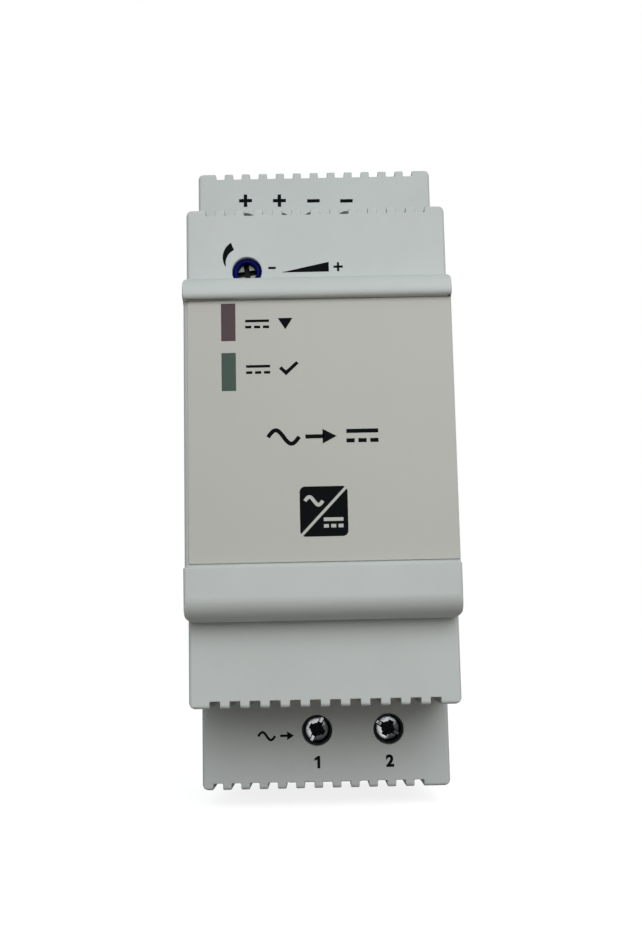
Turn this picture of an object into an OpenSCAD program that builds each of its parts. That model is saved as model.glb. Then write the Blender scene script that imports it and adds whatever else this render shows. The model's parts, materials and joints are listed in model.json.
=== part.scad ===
// Power supply for a 35 mm top-hat rail: a stepped two-module case, a nose cap with a label and two
// light pipes, rising-clamp terminals at both ends, a sprung rail latch, a trimmer and the circuit inside.
//
// The finished frame: +X right, +Z up the case, the front faces -Y, and the origin is the middle of the
// rail seat. Pieces are drawn lying on their back, X right, Y up the case and Z out of its front, and
// stand_up() turns each one into the finished frame.

/* [Case] */
// Width of the case, two modules
case_w = 35; // [35:0.5:54]
// Height of the case, between its end walls
case_h = 91; // [91:0.5:100]
// Thickness of the moulded walls
wall = 1.5; // [1.3:0.1:1.6]
// Rounding of the case's upright corners
corner_r = 0.9; // [0.5:0.1:1.2]
// Rounding of the case's front edges
edge_r = 0.5; // [0.3:0.1:0.8]
// How far the case reaches behind the rail seat
rear_depth = 5.6; // [5.5:0.1:7]
// Distance from the rail seat to the seam between base and front housing
split_depth = 9; // [8.8:0.1:9.2]

/* [Front steps] */
// Height of the nose, between its end walls
nose_h = 44.6; // [44.6:0.2:46]
// Distance from the rail seat to the front of the nose
nose_depth = 50; // [50:0.5:53]
// Height of the shoulder step
shoulder_h = 66.6; // [66.6:0.2:68]
// Distance from the rail seat to the shoulder
shoulder_depth = 44; // [44:0.5:45]
// Distance from the rail seat to the terminal shelf
shelf_depth = 26.5; // [26.5:0.1:28]

/* [Nose cap] */
// Rounding of the nose's upper and lower front edges
nose_r = 3; // [1.5:0.1:3]
// Height of the plain band under the label
lower_band = 6.8; // [4:0.1:9]
// Height of the rounded bead over the label
upper_band = 3.1; // [3:0.1:4]
// How deep the label lies below the two bands
label_recess = 1.3; // [0.6:0.1:1.4]
// Thickness of the label film
label_t = 0.25; // [0.15:0.05:0.4]
// Length of the skirt that plugs into the front housing
skirt_len = 2.6; // [2.4:0.1:3.2]

/* [Vents] */
// Number of slots in each row
vent_count = 12; // [4:1:12]
// Distance between slots
vent_pitch = 2.58; // [2.2:0.02:2.6]
// Width of a slot
vent_w = 1.35; // [0.8:0.05:1.6]
// Depth of the groove that each slot cuts into the outer face
vent_groove = 0.9; // [0.4:0.1:1]
// Length of the grooves below the shelf
shelf_vent_len = 8.5; // [4:0.1:9]

/* [Rail] */
// Height of the top-hat rail
rail_h = 35; // [34.7:0.1:35.3]
// Thickness of the rail's flanges
rail_t = 1; // [0.8:0.1:1.1]
// Overlap of the fixed hook on the rail's upper flange
hook_grip = 2; // [1.2:0.1:2.6]

/* [Rail latch] */
// Width of the latch
latch_w = 12; // [9:0.5:15]
// Thickness of the latch
latch_t = 2.7; // [2.2:0.1:2.8]
// Travel of the latch
latch_travel = 3; // [2.4:0.1:3.4]
// Overlap of the latch on the rail's lower flange
latch_grip = 2; // [1.2:0.1:2.2]
// How far the pull tab stands out of the case
tab_out = 2.3; // [1.8:0.1:5]
// Length of the latch spring at rest
spring_len = 10; // [8:0.5:12]
// Outer diameter of the latch spring
spring_d = 2.5; // [1.8:0.1:2.6]
// Wire of the latch spring
spring_wire = 0.4; // [0.25:0.05:0.45]

/* [Terminals] */
// Distance between neighbouring poles
pole_pitch = 5.08; // [5:0.02:5.2]
// First output pole, from the middle of the case
output_first_x = -10.4; // [-11:0.1:-9]
// First input pole, from the middle of the case
input_first_x = -1.2; // [-4:0.1:0]
// Distance of the output screws from the end of the case
output_screw_in = 8.2; // [7.8:0.1:8.4]
// Distance of the input screws from the end of the case
input_screw_in = 8; // [7.8:0.1:8.4]
// Radius of the output screw holes in the shelf
output_hole_r = 1.9; // [1.85:0.05:2.2]
// Radius of the input screw holes in the shelf
input_hole_r = 2.15; // [1.85:0.05:2.2]
// Radius of a terminal screw's head
head_r = 1.8; // [1.5:0.02:1.8]
// Height of a terminal screw's head
head_h = 2; // [1.4:0.1:2.2]
// Radius of a terminal screw's thread
thread_r = 1.25; // [1:0.05:1.4]
// Travel of a clamp, from open to closed
clamp_travel = 2.5; // [1.5:0.1:2.6]
// Height of the wire space in an open clamp
wire_space = 3; // [2.6:0.1:3.2]

/* [Boards] */
// Distance from the rail seat to the front of the main board
board_front = 9.5; // [9.2:0.1:9.8]
// Thickness of both boards
board_t = 1.6; // [1:0.1:1.8]
// Distance from the rail seat to the front of the display board
display_front = 37.5; // [36.5:0.1:38]

/* [Trimmer and lights] */
// Middle of the trimmer, in from the left side of the case
trimmer_in = 8.15; // [6.3:0.05:9.5]
// Gap between the trimmer's hole and the wall of the nose
trimmer_gap = 0.25; // [0.05:0.05:1]
// Radius of the trimmer's hole in the shoulder
trimmer_hole_r = 2; // [1.9:0.02:2.4]
// How far the trimmer's face lies below the shoulder
trimmer_sink = 0.35; // [0.3:0.05:1]
// Radius of the trimmer's rotor
rotor_r = 1.25; // [0.9:0.05:1.5]
// How far the rotor's face lies below the trimmer's face
rotor_sink = 0.4; // [0:0.05:0.6]
// Middle of the light pipes, in from the left side of the case
light_in = 5.9; // [5.5:0.1:9.5]
// Width of a light pipe's window
light_w = 1.85; // [1.4:0.05:2.4]
// Height of a light pipe's window
light_h = 5; // [3:0.05:5]
// Distance between the two light pipes
light_pitch = 6.6; // [6.3:0.1:8]
// Gap between the label's upper edge and the upper light pipe
light_margin = 0.45; // [0.45:0.05:3]

/* [Circuit] */
// Radius of the bulk capacitor
bulk_r = 6.2; // [4:0.1:6.3]
// Height of the bulk capacitor
bulk_h = 22; // [12:0.5:25]
// Radius of the large output capacitor
output_cap_r = 4.2; // [3:0.1:4.4]
// Height of the output capacitors
output_cap_h = 18; // [10:0.5:22]
// Width of the transformer's core
core_w = 17; // [15:0.5:17.5]
// Thickness of the transformer's core
core_t = 7; // [5:0.5:9]
// Height of both heatsinks
heatsink_h = 24; // [21:0.5:28]
// Thickness of both heatsinks
heatsink_t = 1.5; // [1:0.1:1.8]

/* [Hidden] */
$fn = 48;

// clearances
fit_gap = 0.15; // between pieces that are put together
slide_gap = 0.2; // between pieces that slide on each other
turn_gap = 0.06; // between a shaft and its bore
past = 1; // how far a cut reaches past a face

// colours
case_grey = [0.80, 0.82, 0.81];
label_grey = [0.77, 0.77, 0.74];
terminal_black = [0.10, 0.10, 0.11];
steel = [0.72, 0.73, 0.74];
tin = [0.80, 0.80, 0.78];
board_green = [0.12, 0.35, 0.22];
ferrite_grey = [0.20, 0.20, 0.22];
copper = [0.72, 0.42, 0.20];
aluminium = [0.78, 0.79, 0.80];
chip_black = [0.12, 0.12, 0.13];
sleeve_black = [0.08, 0.08, 0.10];
trimmer_blue = [0.03, 0.08, 0.36];
cream = [0.82, 0.80, 0.70];
film_amber = [0.80, 0.62, 0.15];
box_yellow = [0.85, 0.74, 0.20];
disc_blue = [0.20, 0.35, 0.62];

// case
half_w = case_w / 2;
half_h = case_h / 2;
inner_w = half_w - wall;
inner_h = half_h - wall;
shoulder_half = shoulder_h / 2;
nose_half = nose_h / 2;
shelf_under = shelf_depth - wall;
shoulder_under = shoulder_depth - wall;
seam_r = 0.3;

// nose cap and label
label_front = nose_depth - label_recess;
label_floor = label_front - label_t;
cap_floor = label_floor - wall;
label_top = nose_half - upper_band;
label_bottom = -nose_half + lower_band;
label_left = -half_w + 0.7;
label_right = half_w - 0.15;
label_gap = 0.25; // between the label and the bands
bead_groove_w = 0.2; // the groove under the bead
bead_groove_d = 0.1;
skirt_t = 1;
skirt_half_w = inner_w - fit_gap;
skirt_half_h = nose_half - wall - fit_gap;
skirt_end = shoulder_depth - skirt_len;
catch_w = 8;
catch_out = 0.5;

// vents
shoulder_vent_from = shelf_depth + 3;
shoulder_vent_to = shoulder_under - 0.6;
shelf_vent_from = shelf_depth - shelf_vent_len;
lower_vent_shift = -1.1; // the row in the lower shelf stands off the middle

// base
tongue_t = 0.8;
tongue_h = 2.4;
tongue_w = inner_w - 0.1;
tongue_l = inner_h - 0.1;
base_inner_w = tongue_w - tongue_t;
base_inner_h = tongue_l - tongue_t;
seat_t = 2;
seat_land = 12; // half the height of the seat's middle land
seat_groove_w = 0.8;
seat_groove_d = 0.4;
snap_y = 22;
snap_w = 6;
snap_top = split_depth + 5;
snap_h = 1.6;
snap_out = 0.9;
slot_top = rail_h / 2 + 0.1;
slot_bottom = -rail_h / 2 - 0.3;
hook_back = -rail_t - 0.3; // the hook's face behind the rail's flange
hook_t = 2.6;

// rail latch
latch_front = -rail_t - 0.4; // the latch's face behind the rail's flange
latch_back = latch_front - latch_t;
latch_half = latch_w / 2;
channel_front = latch_front + slide_gap;
channel_back = latch_back - slide_gap;
channel_half = latch_half + slide_gap;
channel_roof = 1.2;
lip_in = 1.5; // how far the guide lips cover the latch
latch_tip = slot_bottom + latch_grip;
latch_end = -half_h - tab_out;
spring_z = (latch_front + latch_back) / 2;
spring_top = -27;
spring_bottom = spring_top - spring_len;
spring_post = 1.5;
spring_window = spring_d / 2 + 0.3;
spring_turns = 6;
spring_steps = 14; // steps in one turn
loop_half = 2.75;
loop_h = 2;
loop_bar = 0.9;

// terminals
output_x = [for (i = [0:3]) output_first_x + i * pole_pitch];
input_x = [input_first_x, input_first_x + 2 * pole_pitch];
output_screw_y = half_h - output_screw_in;
input_screw_y = half_h - input_screw_in;
block_top = shelf_under - slide_gap;
block_face = base_inner_h - slide_gap;
block_behind = 3.7; // from the screws to the block's inner face
head_top = block_top - 0.5;
head_seat = head_top - head_h;
chamber_floor = board_front + 1.8;
chamber_top = head_seat - 0.9;
clamp_w = 3.6;
clamp_len = 4.2;
clamp_play = 0.1; // from the screw's thread to the window's sides
clamp_side = clamp_w / 2 - thread_r - clamp_play;
clamp_bottom = chamber_floor + 0.2;
clamp_window_from = clamp_bottom + 1.1;
bar_t = 0.7;
bar_w = 2.1;
bar_from = clamp_window_from + wire_space;
bar_to = bar_from + bar_t;
clamp_window_to = bar_to + 0.15;
clamp_top = clamp_window_to + 1.2;
chamber_half_w = clamp_w / 2 + 0.1;
chamber_half_l = clamp_len / 2 + 0.1;
leg_back = 3.3; // from the screws to the far side of a contact's leg
leg_t = 0.8;
leg_half = 0.5;
screw_end = bar_to + 0.1;
slot_w = 0.55;
slot_d = 0.7;
cross_len = 2.3;
cross_w = 0.5;
cross_d = 1.1;
wire_half = 1.9;
wire_from = clamp_window_from - 0.6;
wire_to = bar_to - 0.1;

// boards
board_half_w = base_inner_w - slide_gap;
board_half_h = base_inner_h - slide_gap;
board_back = board_front - board_t;
display_back = display_front - board_t;
trimmer_x = trimmer_in - half_w;
light_x = light_in - half_w;
trimmer_y = nose_half + trimmer_gap + trimmer_hole_r;
display_left = -inner_w + 0.5;
display_right = trimmer_x + 5.3;
display_top = trimmer_y + 4.2;
post_r = 1.6;
post_pin_r = 0.9;
post_x = board_half_w - 1.9;
post_y = board_half_h - 11.2;
post_clear = 0.1;
header_x = -board_half_w + 1.3;
header_pitch = 2.54;
header_half = 0.32;
pin_r = 0.35;
pin_out = 1.2; // how far leads stick out of the board's back
drill_gap = 0.12;

// trimmer and lights
trimmer_body_r = 3.1;
trimmer_body_top = shoulder_under - 0.5;
trimmer_face = shoulder_depth - trimmer_sink;
rotor_face = trimmer_face - rotor_sink;
rotor_foot = display_front + 1;
light_y = [for (i = [0:1]) label_top - light_margin - light_h / 2 - i * light_pitch];
led_top = display_front + 2.6;
led_half = 0.8;
pipe_foot = led_top + 0.3;
pipe_flange = 0.5;
pipe_flange_t = 1;

// sizes of the parts on the main board
lead_lift = 0.6; // from the board to the body of a part on leads
can_lift = 0.3; // from the board to a can's foot
core_half_l = 8;
leg_w = core_w / 6; // the core's outer legs
core_foot = board_front + 3.6;
core_top = core_foot + core_t;
coil_out = 3.2; // how far the coil stands over the core
centre_half = core_w / 6;
window_half_l = core_half_l - leg_w;
bobbin_t = 0.6;
bobbin_pin_pitch = 3;
rail_from = core_half_l - leg_w + 0.2;
rail_to = core_half_l + 2;
package_w = 10;
package_t = 4.4;
package_lead = 1.8; // from the package's face to its leads
tab_t = 1.3;
package_foot = board_front + 4;
package_h = 9;
tab_h = 15.4;
tab_hole_z = package_foot + 12.4;
mosfet_sink_half = 9;
diode_sink_half = package_w / 2 + 0.1;
screw_head_r = 2.6;
screw_head_h = 1.8;
fastener_r = 1.45;
second_cap_r = 3.2;
inductor_r = 2.1;
inductor_h = 11;
choke_core_r = 5;
choke_hole_r = 2.6;
choke_h = 5;
wire_t = 0.8;
choke_r = choke_core_r + wire_t;
x_cap = [12.6, 5, 10.5];
fuse_r = 1.8;
fuse_l = 9;
fuse_cap_l = 2;
disc_t = 3.2;
varistor_r = 3;
thermistor_r = 3;
y_cap_r = 2.7;
bridge = [8.4, 6.4, 3.2];
bridge_leg = 0.4; // how far the leads stand beside a moulded block
opto = [6, 4.2, 3.4];
dual_pitch = 2.54;
chip = [5, 4, 1.5];
resistor = [1.2, 2, 0.5];

// the parts stand in six rows between the terminal blocks, all under the shoulders
part_gap = 0.3;
rows_to = min(output_screw_y - block_behind, shoulder_half - wall);
rows_from = -min(input_screw_y - block_behind, shoulder_half - wall);
row_h = [2 * output_cap_r, opto[1], 2 * rail_to, 2 * bulk_r, bridge[1] + 2 * bridge_leg, 2 * fuse_r];
function sum_to(n) = n == 0 ? 0 : row_h[n - 1] + sum_to(n - 1);
row_gap = (rows_to - rows_from - sum_to(6)) / 7;
function row_y(n) = rows_to - sum_to(n) - row_h[n] / 2 - (n + 1) * row_gap;

heat_x = board_half_w - heatsink_t;
package_x = heat_x - package_t;
header_half_w = header_pitch / 2;
transformer_at = [(header_x + header_half_w + package_x) / 2, row_y(2)];
mosfet_y = transformer_at[1];
diode_y = rows_to - package_w / 2 - part_gap;
output_cap_at = [-board_half_w + output_cap_r + part_gap, row_y(0)];
inductor_at = [package_x - inductor_r - part_gap, row_y(0)];
second_cap_at = [(output_cap_at[0] + output_cap_r + inductor_at[0] - inductor_r) / 2, row_y(0)];
opto_at = [transformer_at[0] + core_w / 4, row_y(1)];
chip_at = [opto_at[0] - opto[0] - chip[0], row_y(1)];
y_cap_at = [heat_x - y_cap_r - part_gap, diode_y - (package_w + disc_t) / 2 - part_gap];
bulk_at = [board_half_w - bulk_r - part_gap, row_y(3)];
choke_at = [-board_half_w + choke_r + 2 * part_gap, row_y(3)];
x_cap_at = [-board_half_w + x_cap[0] / 2 + 2 * part_gap, row_y(4)];
bridge_at = [board_half_w - bridge[0] / 2 - 2, row_y(4)];
fuse_lead = fuse_l / 2 + 0.8;
fuse_at = [-board_half_w + fuse_lead + pin_r + 2 * part_gap, row_y(5)];
thermistor_at = [board_half_w - thermistor_r - 4 * part_gap, row_y(5)];
varistor_at = [(fuse_at[0] + fuse_lead + pin_r + thermistor_at[0] - thermistor_r) / 2, row_y(5)];
header_pins = [for (i = [0:3]) [header_x, transformer_at[1] + (i - 1.5) * header_pitch]];
display_bottom = header_pins[0][1] - header_half_w - part_gap;

function pair(at, dx, dy) = [[at[0] - dx, at[1] - dy], [at[0] + dx, at[1] + dy]];
function four(at, dx, dy) = [for (sx = [-1, 1], sy = [-1, 1]) [at[0] + sx * dx, at[1] + sy * dy]];
transformer_pins = [for (sy = [-1, 1], i = [-2:2])
    [transformer_at[0] + i * bobbin_pin_pitch, transformer_at[1] + sy * (core_half_l + 0.8)]];
bulk_pins = pair(bulk_at, bulk_r * 0.4, 0);
output_cap_pins = pair(output_cap_at, output_cap_r * 0.4, 0);
second_cap_pins = pair(second_cap_at, second_cap_r * 0.4, 0);
inductor_pins = pair(inductor_at, 0, inductor_r * 0.6);
choke_pins = four(choke_at, choke_core_r * 0.66, choke_core_r * 0.66);
x_cap_pins = pair(x_cap_at, x_cap[0] * 0.4, 0);
fuse_pins = pair(fuse_at, fuse_lead, 0);
varistor_pins = pair(varistor_at, varistor_r * 0.6, 0);
thermistor_pins = pair(thermistor_at, thermistor_r * 0.6, 0);
y_cap_pins = pair(y_cap_at, y_cap_r * 0.6, 0);
bridge_pins = four(bridge_at, dual_pitch, bridge[1] / 2 + bridge_leg);
opto_pins = four(opto_at, opto[0] / 2 + bridge_leg, dual_pitch / 2);
mosfet_pins = [for (i = [-1:1]) [package_x + package_lead, mosfet_y + i * dual_pitch]];
diode_pins = [for (i = [-1:1]) [package_x + package_lead, diode_y + i * dual_pitch]];
board_pins = concat(transformer_pins, bulk_pins, output_cap_pins, second_cap_pins, inductor_pins,
                    choke_pins, x_cap_pins, fuse_pins, varistor_pins, thermistor_pins, y_cap_pins,
                    bridge_pins, opto_pins, mosfet_pins, diode_pins);

// ---- helpers ----

module stand_up() {
    rotate([90, 0, 0]) children();
}

// A box from corner to corner: each argument is [from, to].
module box(x, y, z) {
    translate([x[0], y[0], z[0]]) cube([x[1] - x[0], y[1] - y[0], z[1] - z[0]]);
}

// A box about the middle in X and Y: half width, half height, and [from, to] in Z.
module mid_box(half_x, half_y, z) {
    box([-half_x, half_x], [-half_y, half_y], z);
}

module rounded_rect(w, h, r) {
    square([w - 2 * r, h], center = true);
    square([w, h - 2 * r], center = true);
    for (sx = [-1, 1], sy = [-1, 1])
        translate([sx * (w / 2 - r), sy * (h / 2 - r)]) circle(r);
}

module plate(w, h, z, r) {
    translate([0, 0, z[0]]) linear_extrude(z[1] - z[0]) rounded_rect(w, h, r);
}

// An outline in (across, Z) whose two front corners are rounded.
module front_outline(w, z, r) {
    translate([-w / 2, z[0]]) square([w, z[1] - z[0] - r]);
    translate([-w / 2 + r, z[0]]) square([w - 2 * r, z[1] - z[0]]);
    for (s = [-1, 1]) translate([s * (w / 2 - r), z[1] - r]) circle(r);
}

// Extrudes an outline of (Y, Z) along X, about the middle.
module along_x(length) {
    rotate([90, 0, 90]) translate([0, 0, -length / 2]) linear_extrude(length) children();
}

// Extrudes an outline of (X, Z) along Y, about the middle.
module along_y(length) {
    rotate([90, 0, 0]) translate([0, 0, -length / 2]) linear_extrude(length) children();
}

// One step of the case, its corners and front edges rounded.
module step_block(h, z, r) {
    intersection() {
        plate(case_w, h, z, corner_r);
        along_x(case_w + 2 * past) front_outline(h, z, r);
        along_y(h + 2 * past) front_outline(case_w, z, r);
    }
}

module both_ends() {
    children();
    mirror([0, 1, 0]) children();
}

module both_sides() {
    children();
    mirror([1, 0, 0]) children();
}

module slot_row(y, z, w) {
    for (i = [0:vent_count - 1])
        translate([(i - (vent_count - 1) / 2) * vent_pitch, 0, 0]) box([-w / 2, w / 2], y, z);
}

// Round leads from the back of the main board up to a height over its front.
module leads(points, up) {
    for (p = points)
        translate([p[0], p[1], board_back - pin_out]) cylinder(r = pin_r, h = board_t + pin_out + up);
}

module holes(points, r, z) {
    for (p = points)
        translate([p[0], p[1], z[0]]) cylinder(r = r, h = z[1] - z[0]);
}

// ---- base and latch ----

module base_housing() {
    color(case_grey) {
        difference() {
            union() {
                difference() {
                    step_block(case_h, [-rear_depth, split_depth], seam_r);
                    base_hollow();
                    rail_slot();
                }
                tongue();
                board_posts();
            }
            latch_channel();
        }
        spring_anchor();
        rail_hook();
    }
}

module base_hollow() {
    mid_box(base_inner_w, base_inner_h, [seat_t, split_depth + past]);
    box([-base_inner_w, base_inner_w], [slot_top + wall, base_inner_h],
        [-rear_depth + wall, seat_t + past]);
    both_sides()
        box([channel_half + wall, base_inner_w], [-base_inner_h, slot_bottom - wall],
            [-rear_depth + wall, seat_t + past]);
    box([-channel_half - wall - past, channel_half + wall + past], [-base_inner_h, slot_bottom - wall],
        [channel_front + channel_roof, seat_t + past]);
}

module rail_slot() {
    box([-half_w - past, half_w + past], [slot_bottom, slot_top], [-rear_depth - past, 0]);
    both_ends()
        box([-half_w - past, half_w + past], [seat_land, seat_land + seat_groove_w],
            [-past, seat_groove_d]);
}

module tongue() {
    difference() {
        mid_box(tongue_w, tongue_l, [split_depth - past, split_depth + tongue_h]);
        mid_box(base_inner_w, base_inner_h, [split_depth - 2 * past, split_depth + tongue_h + past]);
    }
    both_ends() both_sides() {
        box([base_inner_w, tongue_w], [snap_y - snap_w / 2, snap_y + snap_w / 2],
            [split_depth - past, snap_top]);
        along_snap();
    }
}

// The catch on a snap arm, bevelled at its upper side.
module along_snap() {
    translate([0, snap_y, 0]) along_y(snap_w)
        polygon([[tongue_w - 0.2, snap_top - snap_h], [tongue_w + snap_out, snap_top - snap_h],
                 [tongue_w + snap_out, snap_top - snap_h + 0.5], [tongue_w, snap_top],
                 [tongue_w - 0.2, snap_top]]);
}

module board_posts() {
    for (sx = [-1, 1], sy = [-1, 1])
        translate([sx * post_x, sy * post_y, -rear_depth + wall / 2]) {
            cylinder(r = post_r, h = board_back - post_clear + rear_depth - wall / 2);
            cylinder(r = post_pin_r, h = board_front - post_clear + rear_depth - wall / 2);
        }
}

module latch_channel() {
    box([-channel_half, channel_half], [-half_h - past, slot_bottom + past],
        [channel_back, channel_front]);
    box([-channel_half + lip_in, channel_half - lip_in], [-half_h - past, slot_bottom + past],
        [-rear_depth - past, channel_back + past]);
}

// The post that the latch spring pushes against.
module spring_anchor() {
    box([-spring_d / 2, spring_d / 2], [spring_bottom - spring_post, spring_bottom],
        [latch_back, channel_front + channel_roof / 2]);
}

module rail_hook() {
    along_x(case_w - 2 * corner_r)
        polygon([[slot_top + wall / 2, hook_back], [slot_top - hook_grip, hook_back],
                 [slot_top - hook_grip, hook_back - hook_t / 2], [slot_top, hook_back - hook_t],
                 [slot_top + wall / 2, hook_back - hook_t]]);
}

module rail_latch() {
    color(case_grey) difference() {
        along_x(latch_w)
            polygon([[latch_end, latch_back], [latch_tip - latch_t, latch_back],
                     [latch_tip, latch_front - latch_t / 3], [latch_tip, latch_front],
                     [latch_end, latch_front]]);
        box([-spring_window, spring_window],
            [spring_bottom - spring_post - slide_gap, spring_top],
            [latch_back - past, latch_front + past]);
        box([-loop_half, loop_half], [latch_end + loop_bar, latch_end + loop_bar + loop_h],
            [latch_back - past, latch_front + past]);
    }
}

// A point on a spring's wire: t is 0 to 1 along it, a the angle around the wire.
function coil_point(t, a, r) =
    let (turn = 360 * spring_turns * t, out = r + spring_wire / 2 * cos(a))
    [out * cos(turn), out * sin(turn),
     spring_wire / 2 + (spring_len - spring_wire) * t + spring_wire / 2 * sin(a)];

module coil() {
    sides = 8;
    steps = spring_turns * spring_steps;
    r = (spring_d - spring_wire) / 2;
    points = [for (i = [0:steps], j = [0:sides - 1]) coil_point(i / steps, -j * 360 / sides, r)];
    skin = [for (i = [0:steps - 1], j = [0:sides - 1])
        [i * sides + j, i * sides + (j + 1) % sides,
         (i + 1) * sides + (j + 1) % sides, (i + 1) * sides + j]];
    ends = [[for (j = [sides - 1:-1:0]) j], [for (j = [0:sides - 1]) steps * sides + j]];
    polyhedron(points, concat(skin, ends), convexity = 8);
}

module latch_spring() {
    color(steel) translate([0, spring_bottom, spring_z]) rotate([-90, 0, 0]) coil();
}

// ---- front housing, cap and label ----

module front_housing() {
    color(case_grey) difference() {
        union() {
            step_block(case_h, [split_depth, shelf_depth], edge_r);
            step_block(shoulder_h, [split_depth, shoulder_depth], edge_r);
        }
        mid_box(inner_w, inner_h, [split_depth - past, shelf_under]);
        mid_box(inner_w, shoulder_half - wall, [split_depth, shoulder_under]);
        mid_box(inner_w, nose_half - wall, [shoulder_under - past, shoulder_depth + past]);
        shoulder_vents();
        shelf_vents();
        terminal_openings(output_x, output_screw_y, output_hole_r);
        mirror([0, 1, 0]) terminal_openings(input_x, input_screw_y, input_hole_r);
        snap_windows();
        translate([trimmer_x, trimmer_y, shoulder_under - past])
            cylinder(r = trimmer_hole_r, h = wall + 2 * past);
    }
}

module shoulder_vents() {
    both_ends() {
        slot_row([shoulder_half - vent_groove, shoulder_half + past],
                 [shoulder_vent_from, shoulder_depth + past], vent_w);
        slot_row([shoulder_half - wall - past, shoulder_half],
                 [shoulder_vent_from + wall, shoulder_vent_to], vent_w);
    }
}

module shelf_vents() {
    slot_row([half_h - vent_groove, half_h + past], [shelf_vent_from, shelf_depth + past], vent_w);
    translate([lower_vent_shift, 0, 0])
        slot_row([-half_h - past, -half_h + vent_groove], [shelf_vent_from, shelf_depth + past], vent_w);
}

// Screw holes in the shelf and wire openings in the end wall.
module terminal_openings(xs, y, r) {
    for (x = xs) {
        translate([x, y, shelf_under - past]) cylinder(r = r, h = wall + 2 * past);
        box([x - wire_half, x + wire_half], [inner_h - past, half_h + past], [wire_from, wire_to]);
    }
}

module snap_windows() {
    both_ends() both_sides()
        box([inner_w - past, half_w + past],
            [snap_y - snap_w / 2 - slide_gap, snap_y + snap_w / 2 + slide_gap],
            [snap_top - snap_h - slide_gap, snap_top + slide_gap]);
}

module nose_cap() {
    color(case_grey) difference() {
        union() {
            intersection() {
                plate(case_w, nose_h, [shoulder_depth, nose_depth], corner_r);
                along_x(case_w + 2 * past)
                    front_outline(nose_h, [shoulder_depth, nose_depth], nose_r);
                along_y(nose_h + 2 * past)
                    front_outline(case_w, [shoulder_depth, nose_depth], edge_r);
            }
            mid_box(skirt_half_w, skirt_half_h, [skirt_end, shoulder_depth + past]);
            both_ends()
                box([-catch_w / 2, catch_w / 2], [skirt_half_h - past, skirt_half_h + catch_out],
                    [skirt_end, shoulder_under - fit_gap]);
        }
        mid_box(skirt_half_w - skirt_t, skirt_half_h - skirt_t, [skirt_end - past, cap_floor]);
        box([-half_w - past, half_w + past], [label_bottom, label_top], [label_floor, nose_depth + past]);
        box([-half_w - past, half_w + past], [label_top - bead_groove_w, label_top],
            [label_floor - bead_groove_d, nose_depth]);
        light_windows(0, [cap_floor - past, nose_depth]);
    }
}

module light_windows(grow, z) {
    for (y = light_y)
        box([light_x - light_w / 2 - grow, light_x + light_w / 2 + grow],
            [y - light_h / 2 - grow, y + light_h / 2 + grow], z);
}

module front_label() {
    color(label_grey) difference() {
        box([label_left, label_right], [label_bottom + label_gap, label_top - bead_groove_w],
            [label_floor, label_front]);
        light_windows(0, [label_floor - past, label_front + past]);
    }
}

module light_pipe(y) {
    gap = turn_gap;
    translate([light_x, y, 0]) {
        mid_box(light_w / 2 - gap, light_h / 2 - gap, [pipe_foot, label_front - gap]);
        mid_box(light_w / 2 + pipe_flange, light_h / 2 + pipe_flange,
                [cap_floor - pipe_flange_t, cap_floor]);
    }
}

module red_light_pipe() {
    color([0.35, 0.10, 0.14]) light_pipe(light_y[0]);
}

module green_light_pipe() {
    color([0.12, 0.32, 0.22]) light_pipe(light_y[1]);
}

// ---- terminals ----

module terminal_body(xs, y, last) {
    color(terminal_black) difference() {
        box([xs[0] - pole_pitch / 2, xs[last] + pole_pitch / 2], [y - block_behind, block_face],
            [board_front, block_top]);
        for (x = xs) translate([x, y, 0]) {
            box([-chamber_half_w, chamber_half_w], [-chamber_half_l, chamber_half_l],
                [chamber_floor, chamber_top]);
            box([-wire_half, wire_half], [0, block_face - y + past], [wire_from, wire_to]);
            translate([0, 0, chamber_top - past])
                cylinder(r = thread_r + turn_gap, h = head_seat - chamber_top + 2 * past);
            translate([0, 0, head_seat]) cylinder(r = head_r + turn_gap, h = block_top - head_seat + past);
            contact(fit_gap);
        }
    }
}

// A bar through the clamp and a leg down to the board.
module contact(grow) {
    box([-bar_w / 2 - grow, bar_w / 2 + grow], [-leg_back - grow, chamber_half_l - fit_gap],
        [bar_from - grow, bar_to + grow]);
    box([-leg_half - grow, leg_half + grow], [-leg_back - grow, -leg_back + leg_t + grow],
        [board_back - pin_out, bar_to]);
}

module contacts(xs, y) {
    color(tin) for (x = xs) translate([x, y, 0]) contact(0);
}

module terminal_screw(x, y, turn) {
    color(steel) translate([x, y, 0]) rotate([0, 0, turn]) difference() {
        union() {
            translate([0, 0, screw_end]) cylinder(r = thread_r, h = head_seat - screw_end + 0.2);
            translate([0, 0, head_seat]) cylinder(r = head_r, h = head_h);
        }
        mid_box(head_r + past, slot_w / 2, [head_top - slot_d, head_top + past]);
        mid_box(cross_len / 2, cross_w / 2, [head_top - cross_d, head_top + past]);
        mid_box(cross_w / 2, cross_len / 2, [head_top - cross_d, head_top + past]);
    }
}

module clamp(x, y) {
    color(tin) translate([x, y, 0]) difference() {
        mid_box(clamp_w / 2, clamp_len / 2, [clamp_bottom, clamp_top]);
        mid_box(clamp_w / 2 - clamp_side, clamp_len / 2 + past, [clamp_window_from, clamp_window_to]);
        translate([0, 0, clamp_window_to - past])
            cylinder(r = thread_r + turn_gap, h = clamp_top - clamp_window_to + 2 * past);
    }
}

module output_terminal_body() {
    terminal_body(output_x, output_screw_y, 3);
}

module output_contacts() {
    contacts(output_x, output_screw_y);
}

module output_screw_1() {
    terminal_screw(output_x[0], output_screw_y, 25);
}

module output_screw_2() {
    terminal_screw(output_x[1], output_screw_y, 110);
}

module output_screw_3() {
    terminal_screw(output_x[2], output_screw_y, 60);
}

module output_screw_4() {
    terminal_screw(output_x[3], output_screw_y, 150);
}

module output_clamp_1() {
    clamp(output_x[0], output_screw_y);
}

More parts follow.
